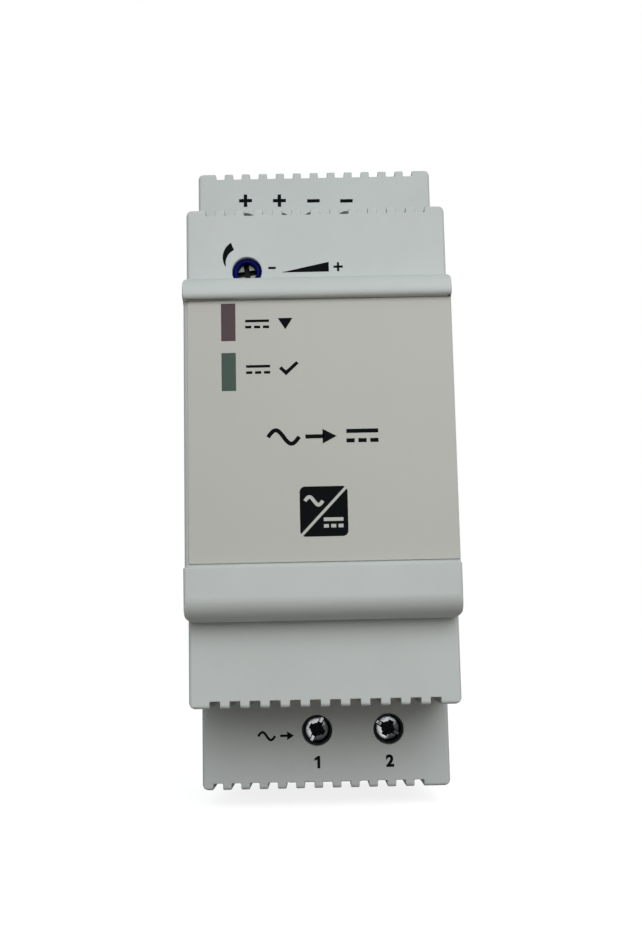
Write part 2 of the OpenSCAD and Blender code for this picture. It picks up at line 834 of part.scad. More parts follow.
module output_clamp_2() {
    clamp(output_x[1], output_screw_y);
}

module output_clamp_3() {
    clamp(output_x[2], output_screw_y);
}

module output_clamp_4() {
    clamp(output_x[3], output_screw_y);
}

module input_terminal_body() {
    mirror([0, 1, 0]) terminal_body(input_x, input_screw_y, 1);
}

module input_contacts() {
    mirror([0, 1, 0]) contacts(input_x, input_screw_y);
}

module line_screw() {
    terminal_screw(input_x[0], -input_screw_y, 62);
}

module neutral_screw() {
    terminal_screw(input_x[1], -input_screw_y, 150);
}

module line_clamp() {
    clamp(input_x[0], -input_screw_y);
}

module neutral_clamp() {
    clamp(input_x[1], -input_screw_y);
}

// ---- boards ----

module main_board() {
    z = [board_back - past, board_front + past];
    color(board_green) difference() {
        mid_box(board_half_w, board_half_h, [board_back, board_front]);
        holes(board_pins, pin_r + drill_gap, z);
        holes(header_pins, header_half * 1.5 + drill_gap, z);
        for (sx = [-1, 1], sy = [-1, 1])
            translate([sx * post_x, sy * post_y, z[0]]) cylinder(r = post_pin_r + post_clear, h = z[1] - z[0]);
        for (x = output_x) translate([x, output_screw_y, 0]) leg_slot(z);
        for (x = input_x) translate([x, -input_screw_y, 0]) mirror([0, 1, 0]) leg_slot(z);
    }
}

module leg_slot(z) {
    box([-leg_half - drill_gap, leg_half + drill_gap],
        [-leg_back - drill_gap, -leg_back + leg_t + drill_gap], z);
}

module insulation_sheet() {
    color(film_amber) difference() {
        mid_box(board_half_w - 0.3, board_half_h - 0.3, [seat_t + 0.1, seat_t + 0.4]);
        for (sx = [-1, 1], sy = [-1, 1])
            translate([sx * post_x, sy * post_y, 0]) cylinder(r = post_r + slide_gap, h = 2 * seat_t);
    }
}

module display_board() {
    color(board_green) difference() {
        box([display_left, display_right], [display_bottom, display_top], [display_back, display_front]);
        holes(header_pins, header_half * 1.5 + drill_gap, [display_back - past, display_front + past]);
    }
}

// Four long pins between the boards, in two plastic strips.
module board_header() {
    color(chip_black) difference() {
        union() {
            box([header_x - header_half_w, header_x + header_half_w],
                [header_pins[0][1] - header_half_w, header_pins[3][1] + header_half_w],
                [board_front, board_front + header_pitch]);
            box([header_x - header_half_w, header_x + header_half_w],
                [header_pins[0][1] - header_half_w, header_pins[3][1] + header_half_w],
                [display_back - header_pitch, display_back]);
        }
        for (p = header_pins)
            translate([p[0], p[1], 0]) mid_box(header_half, header_half, [0, display_front]);
    }
    color(tin) for (p = header_pins)
        translate([p[0], p[1], 0])
            mid_box(header_half, header_half, [board_back - pin_out, display_front + pin_out / 2]);
}

// ---- trimmer and lights ----

module trimmer_body() {
    color(trimmer_blue) translate([trimmer_x, trimmer_y, 0]) difference() {
        union() {
            translate([0, 0, display_front]) cylinder(r = trimmer_body_r, h = trimmer_body_top - display_front);
            translate([0, 0, display_front]) cylinder(r = trimmer_hole_r - fit_gap, h = trimmer_face - display_front);
        }
        translate([0, 0, rotor_foot - turn_gap]) cylinder(r = rotor_r + turn_gap, h = shoulder_depth);
    }
}

module trimmer_rotor() {
    z = [rotor_face - 0.8, rotor_face + past];
    color(cream) translate([trimmer_x, trimmer_y, 0]) rotate([0, 0, 8]) difference() {
        translate([0, 0, rotor_foot]) cylinder(r = rotor_r, h = rotor_face - rotor_foot);
        mid_box(rotor_r * 0.8, rotor_r * 0.2, z);
        mid_box(rotor_r * 0.2, rotor_r * 0.8, z);
    }
}

module led(y) {
    translate([light_x, y, 0]) {
        mid_box(led_half, led_half, [display_front, led_top - led_half]);
        translate([0, 0, led_top - led_half]) cylinder(r1 = led_half, r2 = led_half / 2, h = led_half);
    }
}

module red_led() {
    color([0.75, 0.20, 0.18]) led(light_y[0]);
}

module green_led() {
    color([0.25, 0.65, 0.30]) led(light_y[1]);
}

// ---- circuit ----

module transformer_core() {
    color(ferrite_grey) translate([transformer_at[0], transformer_at[1], 0]) difference() {
        mid_box(core_w / 2, core_half_l, [core_foot, core_top]);
        both_sides()
            box([centre_half, core_w / 2 - leg_w], [-window_half_l, window_half_l],
                [core_foot - past, core_top + past]);
    }
}

module transformer_bobbin() {
    coil_half_w = core_w / 2 - leg_w - fit_gap;
    inner = centre_half + turn_gap;
    color(chip_black) translate([transformer_at[0], transformer_at[1], 0]) {
        difference() {
            union() {
                mid_box(inner + bobbin_t, window_half_l - fit_gap,
                        [core_foot - turn_gap - bobbin_t, core_top + turn_gap + bobbin_t]);
                both_ends()
                    box([-coil_half_w, coil_half_w],
                        [window_half_l - fit_gap - bobbin_t, window_half_l - fit_gap],
                        [core_foot - coil_out, core_top + coil_out]);
            }
            mid_box(inner, core_half_l, [core_foot - turn_gap, core_top + turn_gap]);
        }
        both_ends() {
            box([-core_w / 2 + 1, core_w / 2 - 1], [rail_from, rail_to],
                [board_front + 0.4, core_foot - turn_gap]);
            box([-coil_half_w, coil_half_w], [window_half_l - fit_gap - bobbin_t, rail_from + past],
                [core_foot - 2, core_foot - turn_gap]);
        }
    }
    color(tin) leads(transformer_pins, 1);
}

module transformer_winding() {
    coil_half_w = core_w / 2 - leg_w - 2 * fit_gap;
    half_l = window_half_l - fit_gap - bobbin_t - turn_gap;
    inner = centre_half + turn_gap + bobbin_t + turn_gap;
    color(film_amber) translate([transformer_at[0], transformer_at[1], 0]) difference() {
        mid_box(coil_half_w, half_l, [core_foot - coil_out + fit_gap, core_top + coil_out - fit_gap]);
        mid_box(inner, half_l + past,
                [core_foot - 2 * turn_gap - bobbin_t, core_top + 2 * turn_gap + bobbin_t]);
    }
}

// An aluminium can in a sleeve, with its rolled groove and a recessed top.
module can(at, r, h, pins) {
    foot = board_front + can_lift;
    color(sleeve_black) translate([at[0], at[1], foot]) rotate_extrude()
        polygon([[0, 0], [r - 0.4, 0], [r, 0.4], [r, 1.8], [r - 0.5, 2.3], [r, 2.8], [r, h - 0.5],
                 [r - 0.5, h], [r - 1.2, h], [r - 1.4, h - 0.3], [0, h - 0.3]]);
    color(tin) leads(pins, can_lift);
}

module bulk_capacitor() {
    can(bulk_at, bulk_r, bulk_h, bulk_pins);
}

module output_capacitor() {
    can(output_cap_at, output_cap_r, output_cap_h, output_cap_pins);
}

module second_output_capacitor() {
    can(second_cap_at, second_cap_r, output_cap_h, second_cap_pins);
}

// A drum core wound with wire, in a heat-shrink tube.
module output_inductor() {
    waist = inductor_r - 0.3;
    color(ferrite_grey) translate([inductor_at[0], inductor_at[1], board_front + can_lift])
        rotate_extrude()
            polygon([[0, 0], [inductor_r, 0], [inductor_r, 1], [waist, 1.2], [waist, inductor_h - 1.2],
                     [inductor_r, inductor_h - 1], [inductor_r, inductor_h], [0, inductor_h]]);
    color(tin) leads(inductor_pins, can_lift);
}

module choke_core() {
    color(ferrite_grey) translate([choke_at[0], choke_at[1], board_front + 2]) difference() {
        cylinder(r = choke_core_r, h = choke_h);
        translate([0, 0, -past]) cylinder(r = choke_hole_r, h = choke_h + 2 * past);
    }
}

// Two windings on opposite sides of the ring.
module choke_windings() {
    gap = turn_gap;
    color(copper) translate([choke_at[0], choke_at[1], board_front + 2])
        for (side = [0, 180]) rotate([0, 0, side - 60]) rotate_extrude(angle = 120) difference() {
            translate([choke_hole_r - wire_t, -wire_t])
                square([choke_core_r - choke_hole_r + 2 * wire_t, choke_h + 2 * wire_t]);
            translate([choke_hole_r - gap, -gap])
                square([choke_core_r - choke_hole_r + 2 * gap, choke_h + 2 * gap]);
        }
    color(tin) leads(choke_pins, 1);
}

module x_capacitor() {
    color(box_yellow) translate([x_cap_at[0], x_cap_at[1], 0])
        plate(x_cap[0], x_cap[1], [board_front + lead_lift, board_front + lead_lift + x_cap[2]], 0.4);
    color(tin) leads(x_cap_pins, lead_lift + 0.2);
}

// A round part standing on its two leads.
module disc(at, r, tint, pins) {
    color(tint) translate([at[0], at[1] + disc_t / 2, board_front + lead_lift + r])
        rotate([90, 0, 0]) cylinder(r = r, h = disc_t);
    color(tin) leads(pins, lead_lift + r);
}

module y_capacitor() {
    disc(y_cap_at, y_cap_r, disc_blue, y_cap_pins);
}

module varistor() {
    disc(varistor_at, varistor_r, disc_blue, varistor_pins);
}

module inrush_thermistor() {
    disc(thermistor_at, thermistor_r, [0.16, 0.22, 0.16], thermistor_pins);
}

// A tube fuse with an end cap on each side, lying on its bent leads.
module fuse() {
    z = board_front + lead_lift + fuse_r;
    color(cream) translate([fuse_at[0], fuse_at[1], z]) rotate([0, 90, 0]) translate([0, 0, -fuse_l / 2]) {
        cylinder(r = fuse_r - 0.2, h = fuse_l);
        cylinder(r = fuse_r, h = fuse_cap_l);
        translate([0, 0, fuse_l - fuse_cap_l]) cylinder(r = fuse_r, h = fuse_cap_l);
    }
    color(tin) {
        translate([fuse_pins[0][0], fuse_at[1], z]) rotate([0, 90, 0])
            cylinder(r = pin_r, h = fuse_pins[1][0] - fuse_pins[0][0]);
        leads(fuse_pins, lead_lift + fuse_r);
    }
}

// A moulded block on leads: half of each lead shows beside it.
module chip_block(at, size, pins) {
    color(chip_black) translate([at[0], at[1], 0])
        mid_box(size[0] / 2, size[1] / 2, [board_front + lead_lift, board_front + lead_lift + size[2]]);
    color(tin) leads(pins, lead_lift + size[2] / 2);
}

module bridge_rectifier() {
    chip_block(bridge_at, bridge, bridge_pins);
    color(tin) translate([bridge_at[0], bridge_at[1], 0])
        for (sx = [-1, 1])
            box([sx * dual_pitch - pin_r, sx * dual_pitch + pin_r],
                [-bridge[1] / 2 - bridge_leg, bridge[1] / 2 + bridge_leg],
                [board_front + lead_lift + bridge[2] / 2 - 0.3, board_front + lead_lift + bridge[2] / 2]);
}

module optocoupler() {
    chip_block(opto_at, opto, opto_pins);
    color(tin) translate([opto_at[0], opto_at[1], 0])
        for (sy = [-1, 1])
            box([-opto[0] / 2 - bridge_leg, opto[0] / 2 + bridge_leg],
                [sy * dual_pitch / 2 - pin_r, sy * dual_pitch / 2 + pin_r],
                [board_front + lead_lift + opto[2] / 2 - 0.3, board_front + lead_lift + opto[2] / 2]);
}

// A three-legged package with its tab against a heatsink at the side of the case.
module power_package(y, pins) {
    color(chip_black) box([package_x, heat_x - tab_t],
                          [y - package_w / 2, y + package_w / 2],
                          [package_foot, package_foot + package_h]);
    color(tin) difference() {
        box([heat_x - tab_t, heat_x], [y - package_w / 2, y + package_w / 2],
            [package_foot, package_foot + tab_h]);
        translate([heat_x - tab_t - past, y, tab_hole_z]) rotate([0, 90, 0])
            cylinder(r = fastener_r + turn_gap, h = tab_t + 2 * past);
    }
    color(tin) leads(pins, package_foot - board_front + 0.5);
}

module mosfet() {
    power_package(mosfet_y, mosfet_pins);
}

module output_diode() {
    power_package(diode_y, diode_pins);
}

module heatsink(y, half_l) {
    color(aluminium) difference() {
        box([heat_x, heat_x + heatsink_t], [y - half_l, y + half_l],
            [board_front + 0.2, board_front + heatsink_h]);
        translate([heat_x - past, y, tab_hole_z]) rotate([0, 90, 0])
            cylinder(r = fastener_r + turn_gap, h = heatsink_t + 2 * past);
    }
}

module mosfet_heatsink() {
    heatsink(mosfet_y, mosfet_sink_half);
}

module diode_heatsink() {
    heatsink(diode_y, diode_sink_half);
}

module heatsink_screws() {
    color(steel) for (y = [mosfet_y, diode_y]) translate([heat_x - tab_t, y, tab_hole_z]) rotate([0, 90, 0]) {
        cylinder(r = fastener_r, h = tab_t + heatsink_t - 0.1);
        difference() {
            translate([0, 0, -screw_head_h]) cylinder(r = screw_head_r, h = screw_head_h);
            translate([0, 0, -screw_head_h - past]) {
                mid_box(screw_head_r * 0.7, cross_w / 2, [0, past + 1]);
                mid_box(cross_w / 2, screw_head_r * 0.7, [0, past + 1]);
            }
        }
    }
}

module controller_chip() {
    color(chip_black) translate([chip_at[0], chip_at[1], 0])
        mid_box(chip[0] / 2, chip[1] / 2, [board_back - chip[2], board_back]);
    color(tin) translate([chip_at[0], chip_at[1], 0])
        for (i = [-1.5:1.5], s = [-1, 1])
            translate([i * dual_pitch / 2, s * chip[1] / 2, 0])
                mid_box(0.2, 0.9, [board_back - 0.5, board_back]);
}

// Small parts on the backs of both boards.
module chip_resistors() {
    color(chip_black) {
        for (i = [0:5])
            translate([chip_at[0] + i * 2 * resistor[0], chip_at[1] + chip[1] + resistor[1] / 2, 0])
                mid_box(resistor[0] / 2, resistor[1] / 2, [board_back - resistor[2], board_back]);
        for (i = [0:2])
            translate([light_x + (i + 1) * 1.5 * resistor[0], light_y[0] - light_pitch / 2, 0])
                mid_box(resistor[0] / 2, resistor[1] / 2, [display_back - resistor[2], display_back]);
    }
}

stand_up() base_housing();
stand_up() front_housing();
stand_up() nose_cap();
stand_up() front_label();
stand_up() red_light_pipe();
stand_up() green_light_pipe();
stand_up() rail_latch();
stand_up() latch_spring();
stand_up() output_terminal_body();
stand_up() output_contacts();
stand_up() output_screw_1();
stand_up() output_screw_2();
stand_up() output_screw_3();
stand_up() output_screw_4();
stand_up() output_clamp_1();
stand_up() output_clamp_2();
stand_up() output_clamp_3();
stand_up() output_clamp_4();
stand_up() input_terminal_body();
stand_up() input_contacts();
stand_up() line_screw();
stand_up() neutral_screw();
stand_up() line_clamp();
stand_up() neutral_clamp();
stand_up() main_board();
stand_up() insulation_sheet();
stand_up() display_board();
stand_up() board_header();
stand_up() trimmer_body();
stand_up() trimmer_rotor();
stand_up() red_led();
stand_up() green_led();
stand_up() transformer_core();
stand_up() transformer_bobbin();
stand_up() transformer_winding();
stand_up() bulk_capacitor();
stand_up() output_capacitor();
stand_up() second_output_capacitor();
stand_up() output_inductor();
stand_up() choke_core();
stand_up() choke_windings();
stand_up() x_capacitor();
stand_up() y_capacitor();
stand_up() fuse();
stand_up() varistor();
stand_up() inrush_thermistor();
stand_up() bridge_rectifier();
stand_up() mosfet();
stand_up() mosfet_heatsink();
stand_up() output_diode();
stand_up() diode_heatsink();
stand_up() heatsink_screws();
stand_up() optocoupler();
stand_up() controller_chip();
stand_up() chip_resistors();
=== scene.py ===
import json
import math

import bmesh
import bpy
from mathutils import Matrix, Vector


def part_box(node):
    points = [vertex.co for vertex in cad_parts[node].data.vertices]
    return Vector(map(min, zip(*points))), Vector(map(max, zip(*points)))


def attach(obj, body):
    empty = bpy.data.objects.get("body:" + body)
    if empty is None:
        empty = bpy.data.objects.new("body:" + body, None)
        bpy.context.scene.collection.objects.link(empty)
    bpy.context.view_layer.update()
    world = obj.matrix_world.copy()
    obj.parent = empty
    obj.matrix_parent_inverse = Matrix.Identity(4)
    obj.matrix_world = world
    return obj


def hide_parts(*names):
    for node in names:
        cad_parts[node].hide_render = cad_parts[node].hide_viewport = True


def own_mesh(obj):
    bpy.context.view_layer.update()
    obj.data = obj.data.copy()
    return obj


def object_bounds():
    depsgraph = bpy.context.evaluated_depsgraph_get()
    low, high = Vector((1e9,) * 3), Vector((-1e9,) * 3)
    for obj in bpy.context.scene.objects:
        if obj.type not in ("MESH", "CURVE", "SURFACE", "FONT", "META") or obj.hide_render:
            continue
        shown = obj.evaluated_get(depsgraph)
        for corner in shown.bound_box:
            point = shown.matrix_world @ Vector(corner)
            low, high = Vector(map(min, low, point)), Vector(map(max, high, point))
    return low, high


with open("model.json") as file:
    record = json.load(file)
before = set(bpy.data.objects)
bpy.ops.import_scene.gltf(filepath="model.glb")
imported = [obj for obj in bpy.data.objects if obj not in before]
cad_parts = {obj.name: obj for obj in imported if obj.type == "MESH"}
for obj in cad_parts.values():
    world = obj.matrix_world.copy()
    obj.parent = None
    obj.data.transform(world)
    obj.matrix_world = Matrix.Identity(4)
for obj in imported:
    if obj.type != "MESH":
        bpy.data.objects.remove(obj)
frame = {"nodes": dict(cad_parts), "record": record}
nodes = frame["nodes"]
slotOf = {entry["node"]: entry["material_slot"] for entry in frame["record"]["subparts"]}
cadBox = [list(corner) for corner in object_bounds()]
mm = 0.001

camera = {
    "place": (-0.00069989, -0.19990484, -0.02500222),
    "turn": (98.16677, 1.20872, -0.10821),
    "lens": 45.895,
    "sensorWidth": 36,
    "clipStart": 0.005,
    "clipEnd": 20,
}
cameraData = bpy.data.cameras.new("camera")
cameraData.lens = camera["lens"]
cameraData.sensor_width = camera["sensorWidth"]
cameraData.clip_start = camera["clipStart"]
cameraData.clip_end = camera["clipEnd"]
cameraObject = bpy.data.objects.new("camera", cameraData)
cameraObject.location = camera["place"]
cameraObject.rotation_euler = [math.radians(a) for a in camera["turn"]]
bpy.context.scene.collection.objects.link(cameraObject)
bpy.context.scene.camera = cameraObject
bpy.context.scene.view_settings.view_transform = "Standard"


def linearColour(hexText, alpha=1.0):
    values = [int(hexText[i:i + 2], 16) / 255 for i in (0, 2, 4)]
    return (*[v / 12.92 if v <= 0.04045 else ((v + 0.055) / 1.055) ** 2.4 for v in values], alpha)


def addNode(tree, kind, settings=None, links=None):
    node = tree.nodes.new(kind)
    for key, value in (settings or {}).items():
        if key == "ramp":
            stops = node.color_ramp.elements
            while len(stops) < len(value):
                stops.new(0.5)
            for stop, (position, level) in zip(stops, value):
                stop.position = position
                stop.color = (level, level, level, 1)
        elif isinstance(key, int) or key in node.inputs:
            node.inputs[key].default_value = value
        else:
            setattr(node, key, value)
    for key, source in (links or {}).items():
        tree.links.new(source, node.inputs[key])
    return node


def combine(tree, operation, first, second):
    return addNode(tree, "ShaderNodeMath", {"operation": operation}, {0: first, 1: second}).outputs[0]


def mixTones(tree, first, second, share):
    tones = {"data_type": "RGBA", 6: linearColour(first), 7: linearColour(second)}
    return addNode(tree, "ShaderNodeMix", tones, {0: share}).outputs[2]


def rampOf(tree, stops, share):
    return addNode(tree, "ShaderNodeValToRGB", {"ramp": stops}, {0: share}).outputs[0]


def directRays(tree):  # 1 on rays that meet plain white rather than the light itself
    rays = addNode(tree, "ShaderNodeLightPath").outputs
    seen = combine(tree, "MAXIMUM", rays["Is Camera Ray"], rays["Is Glossy Ray"])
    return combine(tree, "MAXIMUM", seen, rays["Is Transmission Ray"])


room = {"frontSky": 0.86, "sideSky": 0.34, "leftSky": 0.8, "rightSky": 1.2,
        "horizonSky": 0.7, "fullSkyAt": 0.35, "overheadSky": 0.65, "overheadSkyAt": 0.9,
        "skyColour": "ECFFFF", "horizonColour": "FFFAF8", "skyColourAt": 0.8,
        "keyWatts": 0.72, "keySize": 0.28, "keyPlace": (0.06, -0.36, 0.13), "keyAim": (0, -0.03, 0),
        "floorSize": 8, "floorBelow": 0.0005, "floorColour": "8A8078",
        "paperColour": "C8C8C8", "paperGlow": 0.82}

# the light is a large soft one in front, dimmer all round, under a white background
world = bpy.data.worlds.new("studio")
bpy.context.scene.world = world
world.use_nodes = True
tree = world.node_tree
tree.nodes.clear()
direction = addNode(tree, "ShaderNodeTexCoord").outputs["Generated"]
split = addNode(tree, "ShaderNodeSeparateXYZ", None, {0: direction})
forward = addNode(tree, "ShaderNodeMapRange", {"From Min": -1, "From Max": 0, "To Min": room["frontSky"],
                                               "To Max": room["sideSky"]}, {0: split.outputs["Y"]})
fromRight = addNode(tree, "ShaderNodeMapRange", {"From Min": -1, "From Max": 1, "To Min": room["leftSky"],
                                                 "To Max": room["rightSky"]}, {0: split.outputs["X"]})
skyStops = [(0, room["horizonSky"]), (room["fullSkyAt"], 1), (room["overheadSkyAt"], room["overheadSky"])]
upward = rampOf(tree, skyStops, split.outputs["Z"])
skyLevel = combine(tree, "MULTIPLY", forward.outputs[0], fromRight.outputs[0])
skyLevel = combine(tree, "MULTIPLY", skyLevel, upward)
height = addNode(tree, "ShaderNodeMapRange", {"From Min": 0, "From Max": room["skyColourAt"]},
                 {0: split.outputs["Z"]})
skyTint = mixTones(tree, room["horizonColour"], room["skyColour"], height.outputs[0])
softLight = addNode(tree, "ShaderNodeBackground", None, {"Color": skyTint, "Strength": skyLevel})
whiteRoom = addNode(tree, "ShaderNodeBackground", {"Color": (1, 1, 1, 1), "Strength": 1.0})
mixed = addNode(tree, "ShaderNodeMixShader", None,
                {0: directRays(tree), 1: softLight.outputs[0], 2: whiteRoom.outputs[0]})
addNode(tree, "ShaderNodeOutputWorld", None, {"Surface": mixed.outputs[0]})

lampData = bpy.data.lights.new("key_lamp", "AREA")
lampData.shape = "DISK"
lampData.size = room["keySize"]
lampData.energy = room["keyWatts"]
lamp = bpy.data.objects.new("key_lamp", lampData)
lamp.location = room["keyPlace"]
toAim = Vector(room["keyAim"]) - Vector(room["keyPlace"])
lamp.rotation_euler = toAim.to_track_quat("-Z", "Y").to_euler()
lamp.visible_camera = False
bpy.context.scene.collection.objects.link(lamp)
print("camera and light are set")


def perMm(size):  # a texture's scale for a feature of this size in mm
    return 1000 / size


def frontOf(nodeName):  # how far forward a node reaches, in mm along Y
    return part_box(nodeName)[0].y / mm


def startFinish(name, look):
    material = bpy.data.materials.new(name)
    material.use_nodes = True
    tree = material.node_tree
    shader = tree.nodes["Principled BSDF"]
    shader.inputs["Base Color"].default_value = linearColour(look["colour"])
    shader.inputs["Roughness"].default_value = look["roughness"]
    for socket, value in look.get("sockets", {}).items():
        shader.inputs[socket].default_value = value
    place = addNode(tree, "ShaderNodeTexCoord").outputs["Object"]
    return material, tree, shader, place


def noiseOf(tree, place, size, settings):  # size in mm
    noise = addNode(tree, "ShaderNodeTexNoise", {"Scale": perMm(size), **settings}, {"Vector": place})
    return noise.outputs["Fac"]


def colourBy(tree, shader, colour):
    tree.links.new(colour, shader.inputs["Base Color"])


def roughenBy(tree, shader, share, smoothest, roughest):
    sheen = addNode(tree, "ShaderNodeMapRange", {"To Min": smoothest, "To Max": roughest}, {0: share})
    tree.links.new(sheen.outputs[0], shader.inputs["Roughness"])


def raiseBy(tree, shader, height, strength, depth):  # depth in mm
    bump = addNode(tree, "ShaderNodeBump", {"Strength": strength, "Distance": depth * mm}, {"Height": height})
    tree.links.new(bump.outputs[0], shader.inputs["Normal"])


def mixOver(tree, colour, cover, share):  # lays a hex colour over what a node gives
    tones = {"data_type": "RGBA", 7: linearColour(cover)}
    return addNode(tree, "ShaderNodeMix", tones, {0: share, 6: colour}).outputs[2]


def shadedByDepth(tree, place, look, colour):  # painted shade: darkens a recess by its depth behind the front, in mm along Y
    if "recessShadeFrom" not in look:
        return colour
    depth = addNode(tree, "ShaderNodeSeparateXYZ", None, {0: place})
    span = {"From Min": look["recessShadeFrom"] * mm, "From Max": look["recessShadeTo"] * mm}
    share = addNode(tree, "ShaderNodeMapRange", span, {0: depth.outputs["Y"]})
    return mixOver(tree, colour, look["recessShadeColour"], share.outputs[0])


def dusted(tree, place, look, colour):  # specks in some cells of an even spread
    if "speckShare" not in look:
        return colour
    cells = addNode(tree, "ShaderNodeTexVoronoi", {"Scale": perMm(look["speckGapMm"]), "Randomness": 1},
                    {"Vector": place})
    reach = look["speckMm"] / look["speckGapMm"]
    dots = rampOf(tree, [(reach * 0.5, 1), (reach, 0)], cells.outputs["Distance"])
    chosen = addNode(tree, "ShaderNodeSeparateColor", None, {0: cells.outputs["Color"]})
    few = addNode(tree, "ShaderNodeMath", {"operation": "LESS_THAN", 1: look["speckShare"]},
                  {0: chosen.outputs[0]})
    amount = combine(tree, "MULTIPLY", dots, few.outputs[0])
    faint = addNode(tree, "ShaderNodeMath", {"operation": "MULTIPLY", 1: look["speckDepth"]}, {0: amount})
    return mixOver(tree, colour, look["speckColour"], faint.outputs[0])


def mouldedPlastic(name, look):
    material, tree, shader, place = startFinish(name, look)
    flow = noiseOf(tree, place, look["flowMm"], {"Detail": 4, "Roughness": 0.6})
    grain = noiseOf(tree, place, look["grainMm"], {"Detail": 2, "Roughness": 0.7})
    tone = mixTones(tree, look["colour"], look["flowColour"], rampOf(tree, [(0.35, 0), (0.65, 1)], flow))
    colourBy(tree, shader, shadedByDepth(tree, place, look, dusted(tree, place, look, tone)))
    roughenBy(tree, shader, flow, look["roughness"] - 0.05, look["roughness"] + 0.07)
    raiseBy(tree, shader, grain, look["grainDepth"], look["grainMm"] * 0.2)
    return material


def thinFilm(name, look):
    material, tree, shader, place = startFinish(name, look)
    cloud = noiseOf(tree, place, look["cloudMm"], {"Detail": 3})
    tooth = noiseOf(tree, place, look["toothMm"], {"Detail": 2, "Roughness": 0.6})
    colourBy(tree, shader, mixTones(tree, look["colour"], look["cloudColour"], cloud))
    roughenBy(tree, shader, tooth, look["roughness"] - 0.06, look["roughness"] + 0.06)
    height = tooth
    if "wrapMm" in look:  # overlapping turns of a tape, wound around the vertical
        wave = {"wave_type": "BANDS", "bands_direction": "Z", "wave_profile": "SAW",
                "Scale": perMm(look["wrapMm"]) / 10, "Distortion": 0.6}
        bands = addNode(tree, "ShaderNodeTexWave", wave, {"Vector": place})
        height = combine(tree, "ADD", bands.outputs["Fac"], tooth)
    raiseBy(tree, shader, height, look["toothDepth"], depth=0.03)
    return material


def metalFinish(name, look):
    material, tree, shader, place = startFinish(name, look)
    shader.inputs["Metallic"].default_value = 1.0
    stretch = {"Scale": look.get("stretch", (1, 1, 1))}
    stretched = addNode(tree, "ShaderNodeMapping", stretch, {"Vector": place}).outputs[0]
    marks = noiseOf(tree, stretched, look["markMm"], {"Detail": 5, "Roughness": 0.65})
    # patches of a second tone: stains, and on the terminal screw also painted reflection standing in for dark
    # surroundings
    stainAndReflection = noiseOf(tree, place, look["stainAndReflectionMm"], {"noise_dimensions": "4D", "Detail": 3,
                                                   "W": look.get("stainAndReflectionSeed", 0)})
    start, end = look.get("stainAndReflectionEdge", (0.25, 0.75))
    patches = rampOf(tree, [(start, 0), (end, 1)], stainAndReflection)
    if "sideShadeEdge" in look:  # painted shade lies over one side, with a ragged edge
        side = addNode(tree, "ShaderNodeAttribute", {"attribute_name": "greasySide"})
        torn = {"operation": "MULTIPLY_ADD", 1: look["sideShadeRagged"]}
        ragged = addNode(tree, "ShaderNodeMath", torn, {0: stainAndReflection, 2: side.outputs["Fac"]}).outputs[0]
        low, high = look["sideShadeEdge"]
        sideShade = addNode(tree, "ShaderNodeMapRange", {"From Min": low, "From Max": high}, {0: ragged})
        patches = combine(tree, "MAXIMUM", patches, sideShade.outputs[0])
    tone = mixTones(tree, look["colour"], look["stainAndReflectionColour"], patches)
    colourBy(tree, shader, shadedByDepth(tree, place, look, tone))
    roughenBy(tree, shader, marks, look["roughness"] - 0.1, look["roughness"] + 0.14)
    raiseBy(tree, shader, marks, look["markDepth"], depth=0.02)
    return material


def tintedResin(name, look):
    material, tree, shader, place = startFinish(name, look)
    swirl = noiseOf(tree, place, look["swirlMm"], {"Detail": 3, "Distortion": 0.8})
    ripple = noiseOf(tree, place, look["rippleMm"], {"Detail": 1})
    colourBy(tree, shader, mixTones(tree, look["colour"], look["deepColour"], swirl))
    raiseBy(tree, shader, ripple, strength=0.15, depth=0.04)
    return material


def dippedCoating(name, look):
    material, tree, shader, place = startFinish(name, look)
    peel = noiseOf(tree, place, look["peelMm"], {"Detail": 2})
    colourBy(tree, shader, mixTones(tree, look["colour"], look["thinColour"], peel))
    raiseBy(tree, shader, peel, strength=0.35, depth=0.08)
    return material


def firedBody(name, look):
    material, tree, shader, place = startFinish(name, look)
    cells = addNode(tree, "ShaderNodeTexVoronoi", {"Scale": perMm(look["grainMm"])}, {"Vector": place})
    grain = cells.outputs["Distance"]
    colourBy(tree, shader, mixTones(tree, look["colour"], look["grainColour"], grain))
    raiseBy(tree, shader, grain, strength=0.3, depth=0.05)
    return material


def woundWire(name, look):
    material, tree, shader, place = startFinish(name, look)
    turns = addNode(tree, "ShaderNodeTexWave", {"wave_type": "BANDS", "bands_direction": "DIAGONAL",
                                                "Scale": perMm(look["wireMm"]) / 3.2, "Distortion": 1.2,
                                                "Detail": 1}, {"Vector": place}).outputs["Fac"]
    colourBy(tree, shader, mixTones(tree, look["gapColour"], look["colour"], turns))
    raiseBy(tree, shader, turns, strength=0.8, depth=look["wireMm"] * 0.4)
    return material


def maskedLaminate(name, look):
    material, tree, shader, place = startFinish(name, look)
    tracks = addNode(tree, "ShaderNodeTexVoronoi", {"Scale": perMm(look["trackMm"]), "distance": "MANHATTAN",
                                                    "feature": "F1"}, {"Vector": place})
    edges = rampOf(tree, [(0.42, 0), (0.47, 1)], tracks.outputs["Distance"])
    weave = addNode(tree, "ShaderNodeTexBrick", {"Scale": perMm(look["weaveMm"]), "Color1": (1, 1, 1, 1),
                                                 "Color2": (0.8, 0.8, 0.8, 1), "Mortar": (0.5, 0.5, 0.5, 1)},
                    {"Vector": place})
    tone = mixTones(tree, look["colour"], look["trackColour"], edges)
    woven = addNode(tree, "ShaderNodeMix", {"data_type": "RGBA", "blend_type": "MULTIPLY", 0: 0.35},
                    {6: tone, 7: weave.outputs["Color"]})
    colourBy(tree, shader, woven.outputs[2])
    raiseBy(tree, shader, edges, strength=0.4, depth=0.04)
    return material


def printedInk(name, look):
    material, tree, shader, place = startFinish(name, look)
    patch = noiseOf(tree, place, look["patchMm"], {"Detail": 4})
    colourBy(tree, shader, mixTones(tree, look["colour"], look["thinColour"], patch))
    raiseBy(tree, shader, patch, strength=0.2, depth=0.01)
    return material


